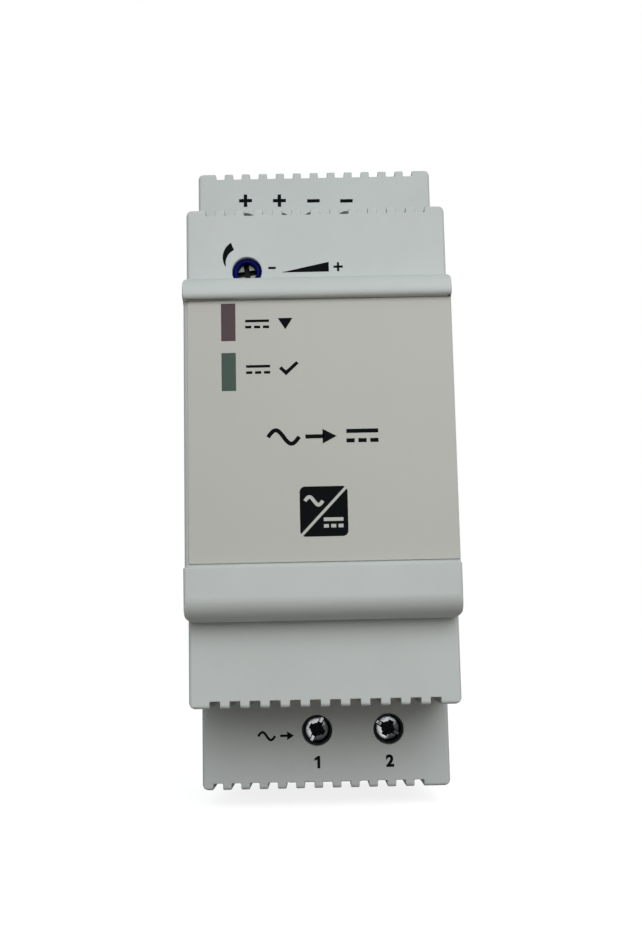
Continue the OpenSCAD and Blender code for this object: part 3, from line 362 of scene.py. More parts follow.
lens = {"roughness": 0.45, "swirlMm": 1.6, "rippleMm": 0.5, "sockets": {"Specular IOR Level": 0.3}}
resin = {"roughness": 0.15, "swirlMm": 1.0, "rippleMm": 0.6}
finishes = {
    # injection-moulded ABS in a spark-eroded mould: matt, cool grey, with a fine even grain and a little dust
    "case_plastic": (mouldedPlastic, {
        "colour": "C3C8C7", "flowColour": "BFC4C3", "roughness": 0.6, "flowMm": 14, "grainMm": 0.22,
        "grainDepth": 0.45, "speckShare": 0.16, "speckGapMm": 2.4, "speckMm": 0.1,
        "speckDepth": 0.45, "speckColour": "6F7372", "sockets": {"Specular IOR Level": 0.28}}),
    # pad-printed epoxy ink: flat black, a touch thinner in places
    "marking_ink": (printedInk, {
        "colour": "05080A", "thinColour": "0E1113", "roughness": 0.85, "patchMm": 0.5,
        "sockets": {"Specular IOR Level": 0.06}}),
    # screen-printed polycarbonate film with a matt face: warmer and flatter than the case
    "label_film": (thinFilm, {
        "colour": "B4B3AD", "cloudColour": "B0B0AA", "roughness": 0.5, "cloudMm": 9,
        "toothMm": 0.16, "toothDepth": 0.2}),
    # polycarbonate light pipes, tinted in the mass and unlit: deep and dull, gloss only at a grazing angle
    "red_lens": (tintedResin, {**lens, "colour": "371E26", "deepColour": "2F1921"}),
    "green_lens": (tintedResin, {**lens, "colour": "253F34", "deepColour": "1F372E"}),
    # patented spring wire: bright, with draw marks along it
    "spring_steel": (metalFinish, {
        "colour": "B9BBBF", "stainAndReflectionColour": "9EA0A4", "roughness": 0.3, "markMm": 0.12,
        "stainAndReflectionMm": 1.5, "markDepth": 0.3}),
    # glass-filled PBT: dull near-black with a slightly coarse skin
    "terminal_plastic": (mouldedPlastic, {
        "colour": "151717", "flowColour": "101212", "roughness": 0.62, "flowMm": 6, "grainMm": 0.3,
        "grainDepth": 0.6, "sockets": {"Specular IOR Level": 0.2}}),
    # hot-dipped tin on copper: soft silver with cloudy patches
    "tinned_copper": (metalFinish, {
        "colour": "D2D0CA", "stainAndReflectionColour": "B6B3AB", "roughness": 0.32, "markMm": 0.25,
        "stainAndReflectionMm": 1.0, "markDepth": 0.35}),
    # bright zinc plate, tumbled: cool silver, dinged all over
    "zinc_plated_steel": (metalFinish, {
        "colour": "C9CDD2", "stainAndReflectionColour": "9A9DA2", "roughness": 0.3, "markMm": 0.3,
        "stainAndReflectionMm": 0.9, "markDepth": 0.7}),
    # the same plate on a terminal screw that has been turned: its dark patches are partly stains and partly
    # painted reflection, and painted shade darkens the recess by depth and one side of the head
    "terminal_screw": (metalFinish, {
        "colour": "B0B2B5", "stainAndReflectionColour": "3E4042", "roughness": 0.3, "markMm": 0.3,
        "stainAndReflectionMm": 1.5, "stainAndReflectionEdge": (0.52, 0.64), "stainAndReflectionSeed": 3, "markDepth": 0.8,
        "sideShadeEdge": (0.38, 0.7), "sideShadeRagged": 0.8, "recessShadeFrom": frontOf("line_screw") + 0.55,
        "recessShadeTo": frontOf("line_screw") + 0.8, "recessShadeColour": "0B0B0B"}),
    # painted shade: a matt black finish laid on the steep walls of a screw's recess, where shade falls
    "screw_recess_shade": (mouldedPlastic, {
        "colour": "111213", "flowColour": "1D1D1C", "roughness": 0.7, "flowMm": 0.6, "grainMm": 0.1,
        "grainDepth": 0.3}),
    # glass-cloth laminate under green solder mask: glossy, tracks just proud of it
    "board_laminate": (maskedLaminate, {
        "colour": "1F6B45", "trackColour": "2C8258", "roughness": 0.35, "trackMm": 2.6,
        "weaveMm": 0.8}),
    # polyester sheet: smooth, amber, faintly cloudy
    "insulation_film": (thinFilm, {
        "colour": "D5C9A6", "cloudColour": "CBBD97", "roughness": 0.35, "cloudMm": 8,
        "toothMm": 0.5, "toothDepth": 0.15}),
    # transfer-moulded epoxy: sooty black with a fine ejector grain
    "black_moulding": (mouldedPlastic, {
        "colour": "232425", "flowColour": "1B1C1D", "roughness": 0.55, "flowMm": 4, "grainMm": 0.18,
        "grainDepth": 0.5}),
    # nylon body of the trimmer: strong blue with a soft gloss
    "trimmer_blue": (mouldedPlastic, {
        "colour": "0A0A68", "flowColour": "050646", "roughness": 0.5, "flowMm": 1, "grainMm": 0.2,
        "grainDepth": 0.15, "sockets": {"Specular IOR Level": 0.05}}),
    # acetal rotor: creamy, slightly waxy, with painted shade darkening its cross by depth
    "trimmer_cream": (mouldedPlastic, {
        "colour": "9CA094", "flowColour": "83887F", "roughness": 0.5, "flowMm": 0.8,
        "grainMm": 0.15, "grainDepth": 0.2, "recessShadeFrom": frontOf("trimmer_rotor") + 0.48,
        "recessShadeTo": frontOf("trimmer_rotor") + 0.7, "recessShadeColour": "0B0C0E",
        "sockets": {"Specular IOR Level": 0.08}}),
    # cast epoxy of the lamps: clear-looking tint with a wet gloss
    "red_led_resin": (tintedResin, {**resin, "colour": "B5302A", "deepColour": "8E221F"}),
    "green_led_resin": (tintedResin, {**resin, "colour": "4FA45C", "deepColour": "357F44"}),
    # sintered manganese-zinc ferrite: charcoal, minutely pitted
    "ferrite": (firedBody, {
        "colour": "35363A", "grainColour": "232427", "roughness": 0.5, "grainMm": 0.3}),
    # polyester winding tape: yellow gloss in overlapping turns
    "winding_tape": (thinFilm, {
        "colour": "DDB53A", "cloudColour": "CDA32C", "roughness": 0.28, "cloudMm": 4,
        "toothMm": 0.6, "toothDepth": 0.4, "wrapMm": 3}),
    # shrunk vinyl sleeve: black gloss with slight ripples
    "capacitor_sleeve": (thinFilm, {
        "colour": "26282E", "cloudColour": "1C1E24", "roughness": 0.25, "cloudMm": 5,
        "toothMm": 1.2, "toothDepth": 0.4}),
    # polyurethane-enamelled copper wire: varnish over warm metal, turn beside turn
    "enamelled_wire": (woundWire, {
        "colour": "C4713C", "gapColour": "6B3418", "roughness": 0.3, "wireMm": 0.5,
        "sockets": {"Metallic": 0.8, "Coat Weight": 0.5}}),
    # PBT box of the film capacitor: smooth yellow
    "film_capacitor_box": (mouldedPlastic, {
        "colour": "D9B43C", "flowColour": "CFA931", "roughness": 0.38, "flowMm": 5, "grainMm": 0.3,
        "grainDepth": 0.15}),
    # epoxy-dipped discs: blue or green skin with orange peel
    "blue_coating": (dippedCoating, {
        "colour": "2F62A8", "thinColour": "3D74B8", "roughness": 0.3, "peelMm": 1.0}),
    "green_coating": (dippedCoating, {
        "colour": "3C523A", "thinColour": "4A6347", "roughness": 0.35, "peelMm": 1.0}),
    # steatite fuse tube: chalky off-white
    "fuse_ceramic": (firedBody, {
        "colour": "E2DED2", "grainColour": "D3CEC0", "roughness": 0.7, "grainMm": 0.4}),
    # extruded aluminium, mill finish: soft grey with die lines along it
    "heatsink_aluminium": (metalFinish, {
        "colour": "BFC1C3", "stainAndReflectionColour": "AEB0B2", "roughness": 0.38, "markMm": 0.3,
        "stretch": (1, 1, 0.06), "stainAndReflectionMm": 3, "markDepth": 0.5}),
}
materials = {slot: build(slot, look) for slot, (build, look) in finishes.items()}
for nodeName, node in nodes.items():
    for holder in node.material_slots:
        holder.material = materials[slotOf[nodeName]]
print("finishes are made:", len(materials))


def deselectAll():
    if bpy.context.object and bpy.context.object.mode != "OBJECT":
        bpy.ops.object.mode_set(mode="OBJECT")
    bpy.ops.object.select_all(action="DESELECT")


def workOn(piece):
    deselectAll()
    piece.select_set(True)
    bpy.context.view_layer.objects.active = piece


def edit(kind="FACE"):
    bpy.ops.object.mode_set(mode="EDIT")
    bpy.ops.mesh.select_mode(type=kind)
    bpy.ops.mesh.select_all(action="DESELECT")


def doneEditing():
    bpy.ops.object.mode_set(mode="OBJECT")


def pick(kind, test):  # selects the faces, edges or points of the active mesh that pass the test
    mesh = bpy.context.object.data
    shape = bmesh.from_edit_mesh(mesh)
    parts = {"FACE": shape.faces, "EDGE": shape.edges, "VERT": shape.verts}[kind]
    bpy.ops.mesh.select_mode(type=kind)
    bpy.ops.mesh.select_all(action="DESELECT")
    for part in parts:
        part.select_set(bool(test(part)))
    bmesh.update_edit_mesh(mesh)
    return sum(part.select for part in parts)


def addModifier(piece, kind, settings):
    modifier = piece.modifiers.new(kind.lower(), kind)
    for key, value in settings.items():
        setattr(modifier, key, value)
    workOn(piece)
    bpy.ops.object.modifier_apply(modifier=modifier.name)


def smooth(piece, degrees=35):
    workOn(piece)
    bpy.ops.object.shade_smooth_by_angle(angle=math.radians(degrees))
    addModifier(piece, "WEIGHTED_NORMAL", {"keep_sharp": True})


def finishPiece(piece, name, slot, body, stands=(), finish=None):
    piece.name = name
    piece.data.name = name
    if len(piece.data.materials):  # clearing an empty list would still reset each face's finish
        piece.data.materials.clear()
    for each in finish or (slot,):
        piece.data.materials.append(materials[each])
    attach(piece, body)
    if stands:
        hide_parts(*stands)
    return piece


def copyPiece(piece):
    twin = bpy.data.objects.new(piece.name, piece.data.copy())
    bpy.context.scene.collection.objects.link(twin)
    return twin


# each piece has the small radius that a mould or a stamping leaves on its edges, in mm;
# corner is the larger one on a housing's upright corners
shells = {
    "base_housing": {"piece": "base_shell", "edge": 0.15, "corner": 0.5},
    "front_housing": {"piece": "front_shell", "edge": 0.15, "corner": 0.8},
    "nose_cap": {"piece": "nose_cap_shell", "edge": 0.1},
    "rail_latch": {"piece": "latch_slider", "edge": 0.2},
    "front_label": {"piece": "label_sheet", "edge": 0.05},
    "red_light_pipe": {"piece": "red_window", "edge": 0.05, "swell": (1.09, 1, 1.03)},
    "green_light_pipe": {"piece": "green_window", "edge": 0.05, "swell": (1.09, 1, 1.03)},
    "output_terminal_body": {"piece": "output_block", "edge": 0.12},
    "input_terminal_body": {"piece": "input_block", "edge": 0.12},
    "output_contacts": {"piece": "output_bars", "edge": 0.07},
    "input_contacts": {"piece": "input_bars", "edge": 0.07},
    **{f"output_clamp_{i}": {"piece": f"output_cage_{i}", "edge": 0.1} for i in (1, 2, 3, 4)},
    "line_clamp": {"piece": "line_cage", "edge": 0.1},
    "neutral_clamp": {"piece": "neutral_cage", "edge": 0.1},
    "main_board": {"piece": "main_laminate", "edge": 0.06},
    "display_board": {"piece": "display_laminate", "edge": 0.06},
    "board_header": {"piece": "header_strip", "edge": 0.06},
    "red_led": {"piece": "red_lamp", "edge": 0.04, "clamp": True},
    "green_led": {"piece": "green_lamp", "edge": 0.04, "clamp": True},
    "transformer_core": {"piece": "transformer_ferrite", "edge": 0.2},
    "transformer_bobbin": {"piece": "transformer_former", "edge": 0.12},
    "transformer_winding": {"piece": "transformer_tape", "edge": 0.35},
    "bulk_capacitor": {"piece": "bulk_can", "edge": 0.4},
    "output_capacitor": {"piece": "output_can", "edge": 0.35},
    "second_output_capacitor": {"piece": "second_output_can", "edge": 0.35},
    "output_inductor": {"piece": "inductor_bobbin", "edge": 0.15},
    "choke_core": {"piece": "choke_ring", "edge": 0.3},
    "choke_windings": {"piece": "choke_turns", "edge": 0.3},
    "x_capacitor": {"piece": "film_box", "edge": 0.3},
    "y_capacitor": {"piece": "blue_disc", "edge": 0.12},
    "varistor": {"piece": "varistor_disc", "edge": 0.12},
    "inrush_thermistor": {"piece": "thermistor_disc", "edge": 0.12},
    "fuse": {"piece": "fuse_tube", "edge": 0.2},
    "bridge_rectifier": {"piece": "bridge_moulding", "edge": 0.15},
    "mosfet": {"piece": "switch_moulding", "edge": 0.12},
    "output_diode": {"piece": "diode_moulding", "edge": 0.12},
    "mosfet_heatsink": {"piece": "switch_heatsink", "edge": 0.12},
    "diode_heatsink": {"piece": "rectifier_heatsink", "edge": 0.12},
    "heatsink_screws": {"piece": "heatsink_fixings", "edge": 0.12},
    "optocoupler": {"piece": "optocoupler_moulding", "edge": 0.1},
    "controller_chip": {"piece": "chip_moulding", "edge": 0.06},
    "chip_resistors": {"piece": "resistor_chips", "edge": 0.05},
}
bodyOf = {name: body for body, members in frame["record"]["behaviour"]["bodies"].items() for name in members}
flatTurn = math.radians(0.4)  # faces that turn less than this are one face
sharpTurn = math.radians(32)
weld = 0.000001
level = 0.00001  # heights closer than this are the same
roomShare = 2.1  # how many times a bevel's width a face has to be
crossTurns = (math.radians(20), math.radians(150))


def mergedCopy(nodeName):
    piece = bpy.data.objects.new(nodeName + "_copy", nodes[nodeName].data.copy())
    bpy.context.scene.collection.objects.link(piece)
    workOn(piece)
    if piece.data.has_custom_normals:
        bpy.ops.mesh.customdata_custom_splitnormals_clear()
    edit()
    bpy.ops.mesh.select_all(action="SELECT")
    bpy.ops.mesh.remove_doubles(threshold=weld)
    bpy.ops.mesh.dissolve_limited(angle_limit=flatTurn)
    return piece


def bevelPicked(radius, segments, clamp=False):  # radius in mm
    bpy.ops.mesh.bevel(offset=radius * mm, segments=segments, affect="EDGES", clamp_overlap=clamp)


def sharp(edge):
    return len(edge.link_faces) == 2 and edge.calc_face_angle() > sharpTurn


def roomy(edge, width):  # whether the faces beside the edge can each give up this width
    for loop in edge.link_loops:
        ends = ((loop.link_loop_prev.edge, loop.vert), (loop.link_loop_next.edge, loop.link_loop_next.vert))
        for beside, corner in ends:
            along = edge.other_vert(corner).co - corner.co
            across = beside.other_vert(corner).co - corner.co
            angle = along.angle(across, 0)
            crosses = crossTurns[0] < angle < crossTurns[1]
            if crosses and across.length * math.sin(angle) < roomShare * width:
                return False
    return True


case = {"sideX": 17.4, "cornerLen": 3}  # mm: an edge further out and longer than this is a corner


def outerCorner(edge):  # an edge that runs up the case, on its side walls
    a, b = edge.verts[0].co, edge.verts[1].co
    upright = abs(a.x - b.x) < level and abs(a.y - b.y) < level and abs(a.z - b.z) > case["cornerLen"] * mm
    return upright and abs(a.x) > case["sideX"] * mm and sharp(edge) and edge.is_convex


# nose cap: one band above the label and one below, as heights and depths in mm.
# The lower band's front curve runs further back than it is high.
# The upper band stands taller, and is flat in front.
nose = {"front": -50, "curveTop": -19.2, "curveSpan": (-49.99, -46.98), "curveDeeper": 1.33,
        "beadFrom": 19.25, "beadFoot": 19.3, "beadBack": -43.99, "beadTaller": 1.08,
        "flatSpan": (19.1, 20.3), "flatBehind": -49.8, "flatFront": -49.9,
        "sideSpan": (-15.47, 18.97), "sideX": 17.49, "sideFront": -48, "sideRolls": [(-1, 0.65), (1, 0.14)],
        "lipFront": -49.45, "lips": [(19.2, 0.66), (-15.5, 0.2)]}


def shapeNose():
    front, back = nose["curveSpan"]
    pick("VERT", lambda vertex: vertex.co.z < nose["curveTop"] * mm and front * mm < vertex.co.y <= back * mm)
    bpy.ops.transform.resize(value=(1, nose["curveDeeper"], 1), center_override=(0, nose["front"] * mm, 0))
    pick("VERT", lambda vertex: vertex.co.z > nose["beadFrom"] * mm and vertex.co.y < nose["beadBack"] * mm)
    bpy.ops.transform.resize(value=(1, 1, nose["beadTaller"]), center_override=(0, 0, nose["beadFoot"] * mm))
    low, high = nose["flatSpan"]
    pick("VERT", lambda vertex: low < vertex.co.z / mm < high and vertex.co.y < nose["flatBehind"] * mm)
    bpy.ops.transform.resize(value=(1, 0, 1), center_override=(0, nose["flatFront"] * mm, 0))
    pick("FACE", lambda face: face.normal.y < -0.99 and face.calc_center_median().z > low * mm)
    bpy.ops.mesh.dissolve_limited(angle_limit=flatTurn)
    bottom, top = nose["sideSpan"]
    for height in (bottom, top):
        bpy.ops.mesh.select_all(action="SELECT")
        bpy.ops.mesh.bisect(plane_co=(0, 0, height * mm), plane_no=(0, 0, 1), threshold=weld)
    for side, radius in nose["sideRolls"]:
        pick("EDGE", lambda edge: sharp(edge) and edge.is_convex and all(
            side * v.co.x > nose["sideX"] * mm and v.co.y < nose["sideFront"] * mm
            and bottom - 0.01 < v.co.z / mm < top + 0.01 for v in edge.verts))
        bevelPicked(radius, 8)
    for height, radius in nose["lips"]:
        pick("EDGE", lambda edge: sharp(edge) and all(abs(v.co.z - height * mm) < level for v in edge.verts)
             and sum(v.co.y for v in edge.verts) / 2 < nose["lipFront"] * mm)
        bevelPicked(radius, 5)


# label: how far each edge is moved, as axis, side and mm along that axis
labelShifts = [(2, 1, 0.17), (2, -1, 0.22), (0, -1, -0.1)]


def shiftLabel(piece):
    for axis, side, distance in labelShifts:
        reach = max(side * vertex.co[axis] for vertex in piece.data.vertices)
        pick("VERT", lambda vertex: side * vertex.co[axis] > reach - 0.05 * mm)
        bpy.ops.transform.translate(value=[distance * mm * (i == axis) for i in range(3)])


windowFront = -47  # mm: what lies ahead of this shows in the label


def swellWindow(nodeName, growth):  # fills its opening in the front
    low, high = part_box(nodeName)
    pick("VERT", lambda vertex: vertex.co.y < windowFront * mm)
    bpy.ops.transform.resize(value=growth, center_override=((low.x + high.x) / 2, 0, (low.z + high.z) / 2))


def roundEdges(nodeName, settings):
    piece = mergedCopy(nodeName)
    if nodeName == "front_label":
        shiftLabel(piece)
    if nodeName == "nose_cap":
        shapeNose()
    if "swell" in settings:
        swellWindow(nodeName, settings["swell"])
    if "corner" in settings and pick("EDGE", outerCorner):
        bevelPicked(settings["corner"], 5)
    pick("EDGE", lambda edge: sharp(edge) and roomy(edge, settings["edge"] * mm))
    bevelPicked(settings["edge"], 2, settings.get("clamp", False))
    doneEditing()
    smooth(piece)
    return finishPiece(piece, settings["piece"], slotOf[nodeName], bodyOf[nodeName], (nodeName,))


for nodeName, settings in shells.items():
    shell = roundEdges(nodeName, settings)
    print("rounded", nodeName, len(shell.data.polygons), "faces")

# the latch spring, which is pressed shorter against its post as the latch is drawn down: a smoothed copy with
# its own mesh
spring = mergedCopy("latch_spring")
doneEditing()
smooth(spring)
finishPiece(spring, "latch_coil", slotOf["latch_spring"], bodyOf["latch_spring"], ("latch_spring",))
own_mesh(spring)
print("latch spring is made")

# a piece is drawn lying, then stood up to face -Y
standUp = Matrix(((1, 0, 0, 0), (0, 0, -1, 0), (0, 1, 0, 0), (0, 0, 0, 1)))


def thickenPicked(height):  # draws the picked faces up into a block of this height in mm
    bpy.ops.mesh.extrude_region_move(TRANSFORM_OT_translate={"value": (0, 0, height * mm)})


def faceOutwards():
    bpy.ops.mesh.select_all(action="SELECT")
    bpy.ops.mesh.normals_make_consistent(inside=False)


# profile is (radius, height) in mm from the foot up, as on a lathe, and the last face closes it
def turnProfile(profile, sides=48):
    deselectAll()
    radius, height = profile[0]
    bpy.ops.mesh.primitive_circle_add(vertices=sides, radius=radius * mm, fill_type="NGON",
                                      location=(0, 0, height * mm))
    piece = bpy.context.object
    bpy.ops.object.transform_apply(location=True, rotation=True, scale=True)
    edit()
    bpy.ops.mesh.select_all(action="SELECT")
    for newRadius, newHeight in profile[1:]:
        thickenPicked(newHeight - height)
        scale = newRadius / radius
        bpy.ops.transform.resize(value=(scale, scale, 1), center_override=(0, 0, newHeight * mm))
        radius, height = newRadius, newHeight
    faceOutwards()
    doneEditing()
    return piece


cutAbove = 0.4  # mm of a cutter that stands clear of the face it cuts
longSlot = 3  # mm: a slot longer than this runs off the head, so its ends don't taper


def cutRecess(piece, length, width, floorWidth, depth, turn=0.0):  # a tapered slot across the top
    deselectAll()
    bpy.ops.mesh.primitive_cube_add(size=1, location=(0, 0, 0))
    cutter = bpy.context.object
    cutter.scale = (length * mm, width * mm, (depth + cutAbove) * mm)
    cutter.location = (0, 0, (cutAbove - depth) / 2 * mm)
    bpy.ops.object.transform_apply(location=True, rotation=True, scale=True)
    edit()
    pick("FACE", lambda face: face.normal.z < -0.9)
    ends = 1 if length > longSlot else (length - (width - floorWidth)) / length
    bpy.ops.transform.resize(value=(ends, floorWidth / width, 1), center_override=(0, 0, -depth * mm))
    doneEditing()
    cutter.data.transform(Matrix.Rotation(math.radians(turn), 4, "Z"))
    cutWith(piece, cutter)


def cutWith(piece, cutter):
    addModifier(piece, "BOOLEAN", {"operation": "DIFFERENCE", "object": cutter, "solver": "EXACT"})
    bpy.data.objects.remove(cutter)


# combination-head terminal screw, M2.5, its thread drawn as plain ridges, in mm.
# dome is (share of rimFlat in from the rim, share of domeDrop down)
# the shade entries lay painted shade: a matt black finish on the recess walls, and a darker plate toward one
# side of the head
screw = {"headR": 1.8, "headH": 2.0, "underChamfer": 0.12, "rimDepth": 0.1, "rimIn": 0.05, "rimFlat": 0.2,
         "domeDrop": 0.16, "dome": [(0.5, 0.45), (1.2, 0.16)],
         "threadR": 1.25, "rootR": 0.98, "pitch": 0.45, "crest": (0.45, 0.55), "runOut": 1.2,
         "tipShare": 0.7, "tipLen": 0.25,
         "slotLen": 3.96, "slotW": 0.95, "slotFloorW": 0.42, "slotDepth": 0.5,
         "crossW": 0.95, "crossFloorW": 0.3, "crossLen": 2.5, "crossDepth": 1.25,
         "pitR": 0.88, "pitLip": (0.06, 0.05), "pitFloorR": 0.35, "pitDepth": 1.0,
         "softEdge": 0.04, "softInside": 0.02, "softDepth": 1.2, "smoothTurn": 30,
         "shadeInside": 0.15, "shadeBelow": 0.05, "shadeSteep": 0.75, "shadedSideFrom": (0.9, -0.44)}
screwTurns = {"output_screw_1": 25, "output_screw_2": 110, "output_screw_3": 60, "output_screw_4": 150,
              "line_screw": 62, "neutral_screw": 150}


def makeScrew(length):
    height = -length + screw["tipLen"]
    profile = [(screw["rootR"] * screw["tipShare"], -length), (screw["rootR"], height)]
    crestFrom, crestTo = screw["crest"]
    while height < -screw["headH"] - screw["runOut"] * screw["pitch"]:
        profile += [(screw["threadR"], height + screw["pitch"] * crestFrom),
                    (screw["threadR"], height + screw["pitch"] * crestTo),
                    (screw["rootR"], height + screw["pitch"])]
        height += screw["pitch"]
    head, under, drop, chamfer = screw["headR"], -screw["headH"], screw["domeDrop"], screw["underChamfer"]
    lipOut, lipDown = screw["pitLip"]
    profile += [(screw["rootR"] + chamfer, under), (head - chamfer, under), (head, under + chamfer),
                (head, -drop - screw["rimDepth"]), (head - screw["rimIn"], -drop)]
    profile += [(head - screw["rimFlat"] * inwards, -drop * down) for inwards, down in screw["dome"]]
    profile += [(screw["pitR"] + lipOut, 0), (screw["pitR"], -lipDown),
                (screw["pitFloorR"], -screw["pitDepth"])]
    piece = turnProfile(profile)
    cutRecess(piece, screw["slotLen"], screw["slotW"], screw["slotFloorW"], screw["slotDepth"])
    for turn in (0, 90):
        cutRecess(piece, screw["crossLen"], screw["crossW"], screw["crossFloorW"], screw["crossDepth"], turn)
    workOn(piece)
    edit("EDGE")
    deepest = -drop * screw["softDepth"] * mm
    pick("EDGE", lambda edge: sharp(edge) and min(v.co.z for v in edge.verts) > deepest
         and max(v.co.xy.length for v in edge.verts) < (head - screw["softInside"]) * mm)
    bevelPicked(screw["softEdge"], 2, clamp=True)
    doneEditing()
    # painted shade: the steep walls of the recess take a matt black finish, and the slot's floor stays bright
    for face in piece.data.polygons:
        inside = face.center.xy.length < (head - screw["shadeInside"]) * mm
        shallow = face.center.z > -(screw["crossDepth"] + screw["shadeBelow"]) * mm
        if inside and shallow and abs(face.normal.z) < screw["shadeSteep"]:
            face.material_index = 1
    return piece


low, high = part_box("line_screw")
pattern = makeScrew((high.y - low.y) / mm)
for nodeName, turn in screwTurns.items():
    low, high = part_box(nodeName)
    piece = copyPiece(pattern)
    place = Matrix.Translation(((low.x + high.x) / 2, low.y, (low.z + high.z) / 2))
    piece.data.transform(place @ standUp @ Matrix.Rotation(math.radians(turn), 4, "Z"))
    # painted shade: each point's reach toward the lower right of the head, where the plate is drawn darker
    side = piece.data.attributes.new("greasySide", "FLOAT", "POINT")
    right, up = screw["shadedSideFrom"]
    for vertex, value in zip(piece.data.vertices, side.data):
        fromAxis = vertex.co - place.translation
        value.value = (right * fromAxis.x + up * fromAxis.z) / (screw["headR"] * mm)
    smooth(piece, screw["smoothTurn"])
    finishPiece(piece, nodeName + "_turned", "zinc_plated_steel", bodyOf[nodeName], (nodeName,),
                ("terminal_screw", "screw_recess_shade"))
bpy.data.objects.remove(pattern)
print("screws are made:", len(screwTurns))

# trimmer, in mm: a round-necked body and a cross-slotted rotor set into it
trimmer = {"faceSink": 0.4, "rotorEdge": 0.1, "faceEdge": 0.12, "faceShare": 0.5,
           "crossLen": 2.7, "crossW": 0.78, "crossFloorW": 0.66, "crossDepth": 0.8, "turn": 8,
           "boreGap": 0.06, "lip": 0.12, "bevel": 0.3, "neckR": 1.93, "neckLen": 1.65,
           "footEdge": 0.2, "step": 0.3, "stepRise": 0.05, "smoothTurn": 30}
low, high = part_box("trimmer_rotor")
middle = Vector(((low.x + high.x) / 2, low.y + trimmer["faceSink"] * mm, (low.z + high.z) / 2))
rotorR, rotorLen = (high.x - low.x) / 2 / mm, (high.y - middle.y) / mm
foot, lip = trimmer["rotorEdge"], trimmer["faceEdge"]
piece = turnProfile([(rotorR - foot, -rotorLen), (rotorR, -rotorLen + foot), (rotorR, -lip),
                     (rotorR - lip, 0), (rotorR * trimmer["faceShare"], 0)])
for turn in (0, 90):
    cutRecess(piece, trimmer["crossLen"], trimmer["crossW"], trimmer["crossFloorW"], trimmer["crossDepth"],
              turn)
turned = Matrix.Rotation(math.radians(trimmer["turn"]), 4, "Z")
piece.data.transform(Matrix.Translation(middle) @ standUp @ turned)
smooth(piece, trimmer["smoothTurn"])
finishPiece(piece, "trimmer_dial", "trimmer_cream", bodyOf["trimmer_rotor"], ("trimmer_rotor",))

low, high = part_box("trimmer_body")
face = low.y
bodyR, bodyLen = (high.x - low.x) / 2 / mm, (high.y - low.y) / mm
boreR = rotorR + trimmer["boreGap"]
boreFloor = (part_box("trimmer_rotor")[1].y - face) / mm + trimmer["boreGap"]
neckR, neckLen, bevel = trimmer["neckR"], trimmer["neckLen"], trimmer["bevel"]
foot, step, lip = trimmer["footEdge"], trimmer["step"], trimmer["lip"]
points = [(bodyR - foot, -bodyLen), (bodyR, -bodyLen + foot), (bodyR, -neckLen - step),
          (bodyR - step, -neckLen - trimmer["stepRise"]), (neckR, -neckLen), (neckR, -bevel),
          (neckR - bevel, 0), (boreR + lip, 0), (boreR, -lip), (boreR, -boreFloor)]
piece = turnProfile(points, sides=64)
piece.data.transform(Matrix.Translation((middle.x, face, middle.z)) @ standUp)
smooth(piece, trimmer["smoothTurn"])
finishPiece(piece, "trimmer_housing", "trimmer_blue", bodyOf["trimmer_body"], ("trimmer_body",))
print("trimmer is made")

ink = {"thickness": 0.025, "gap": 0.002, "block": 0.2, "cutter": 0.6, "cutterFrom": -0.2}  # mm


def inkPatch(points):  # one patch of ink, its outline in mm seen from the front
    deselectAll()
    bpy.ops.mesh.primitive_circle_add(vertices=len(points), radius=mm, fill_type="NGON")
    patch = bpy.context.object
    for vertex, (x, y) in zip(patch.data.vertices, points):
        vertex.co = (x * mm, y * mm, 0)
    return patch


def thickenAll(piece, height):  # in mm; the piece stays in edit mode
    workOn(piece)
    edit()
    bpy.ops.mesh.select_all(action="SELECT")
    thickenPicked(height)
    faceOutwards()


def moved(points, x, y):
    return [(x + u, y + v) for u, v in points]


def bar(x, y, width, height):
    a, b = width / 2, height / 2
    return moved([(-a, -b), (a, -b), (a, b), (-a, b)], x, y)


def cross(x, y, size, stroke):
    a, b = size / 2, stroke / 2
    return moved([(b, b), (a, b), (a, -b), (b, -b), (b, -a), (-b, -a), (-b, -b), (-a, -b), (-a, b), (-b, b),
                  (-b, a), (b, a)], x, y)


def wave(x, y, width, height, stroke, steps=28):  # one period of a sine, as a stroke of even width
    upper, lower = [], []
    for i in range(steps + 1):
        t = i / steps
        slope = math.cos(2 * math.pi * t) * math.pi * (height - stroke) / width
        nx, ny = -slope / math.hypot(1, slope), 1 / math.hypot(1, slope)
        px, py = x + (t - 0.5) * width, y + math.sin(2 * math.pi * t) * (height - stroke) / 2
        upper.append((px + nx * stroke / 2, py + ny * stroke / 2))
        lower.append((px - nx * stroke / 2, py - ny * stroke / 2))
    return upper + lower[::-1]


def directCurrent(x, y, width, height, stroke):  # a line over three dashes
    dash = width / 3.9
    return [bar(x, y + height / 2 - stroke / 2, width, stroke)] + [
        bar(x + side * (width - dash) / 2, y - height / 2 + stroke / 2, dash, stroke) for side in (-1, 0, 1)]


def arcPoints(x, y, radius, start, stop, steps):  # degrees
    turns = [math.radians(start + (stop - start) * i / steps) for i in range(steps + 1)]
    return [(x + radius * math.cos(turn), y + radius * math.sin(turn)) for turn in turns]


def growingArc(outer, inner, steps=22):  # two arcs (x, y, radius, from, to) that meet at a point
    return arcPoints(*outer, steps) + arcPoints(*inner, steps)[::-1][1:]


def numeral(character, x, y, height, weight):
    deselectAll()
    bpy.ops.object.text_add()
    letter = bpy.context.object
    letter.data.body = character
    letter.data.align_x = "CENTER"
    letter.data.align_y = "CENTER"
    letter.data.offset = weight
    bpy.ops.object.convert(target="MESH")
    middle = sum((Vector(corner) for corner in letter.bound_box), Vector()) / 8
    scale = height * mm / letter.dimensions.y
    letter.data.transform(Matrix.Translation((x * mm, y * mm, 0)) @ Matrix.Diagonal((scale, scale, scale, 1))
                          @ Matrix.Translation((-middle.x, -middle.y, 0)))
    letter.data.update()
    return letter


def inkOn(front):  # stands a lying mark on a face that looks forward
    return Matrix.Translation((0, front + ink["gap"] * mm, 0)) @ standUp


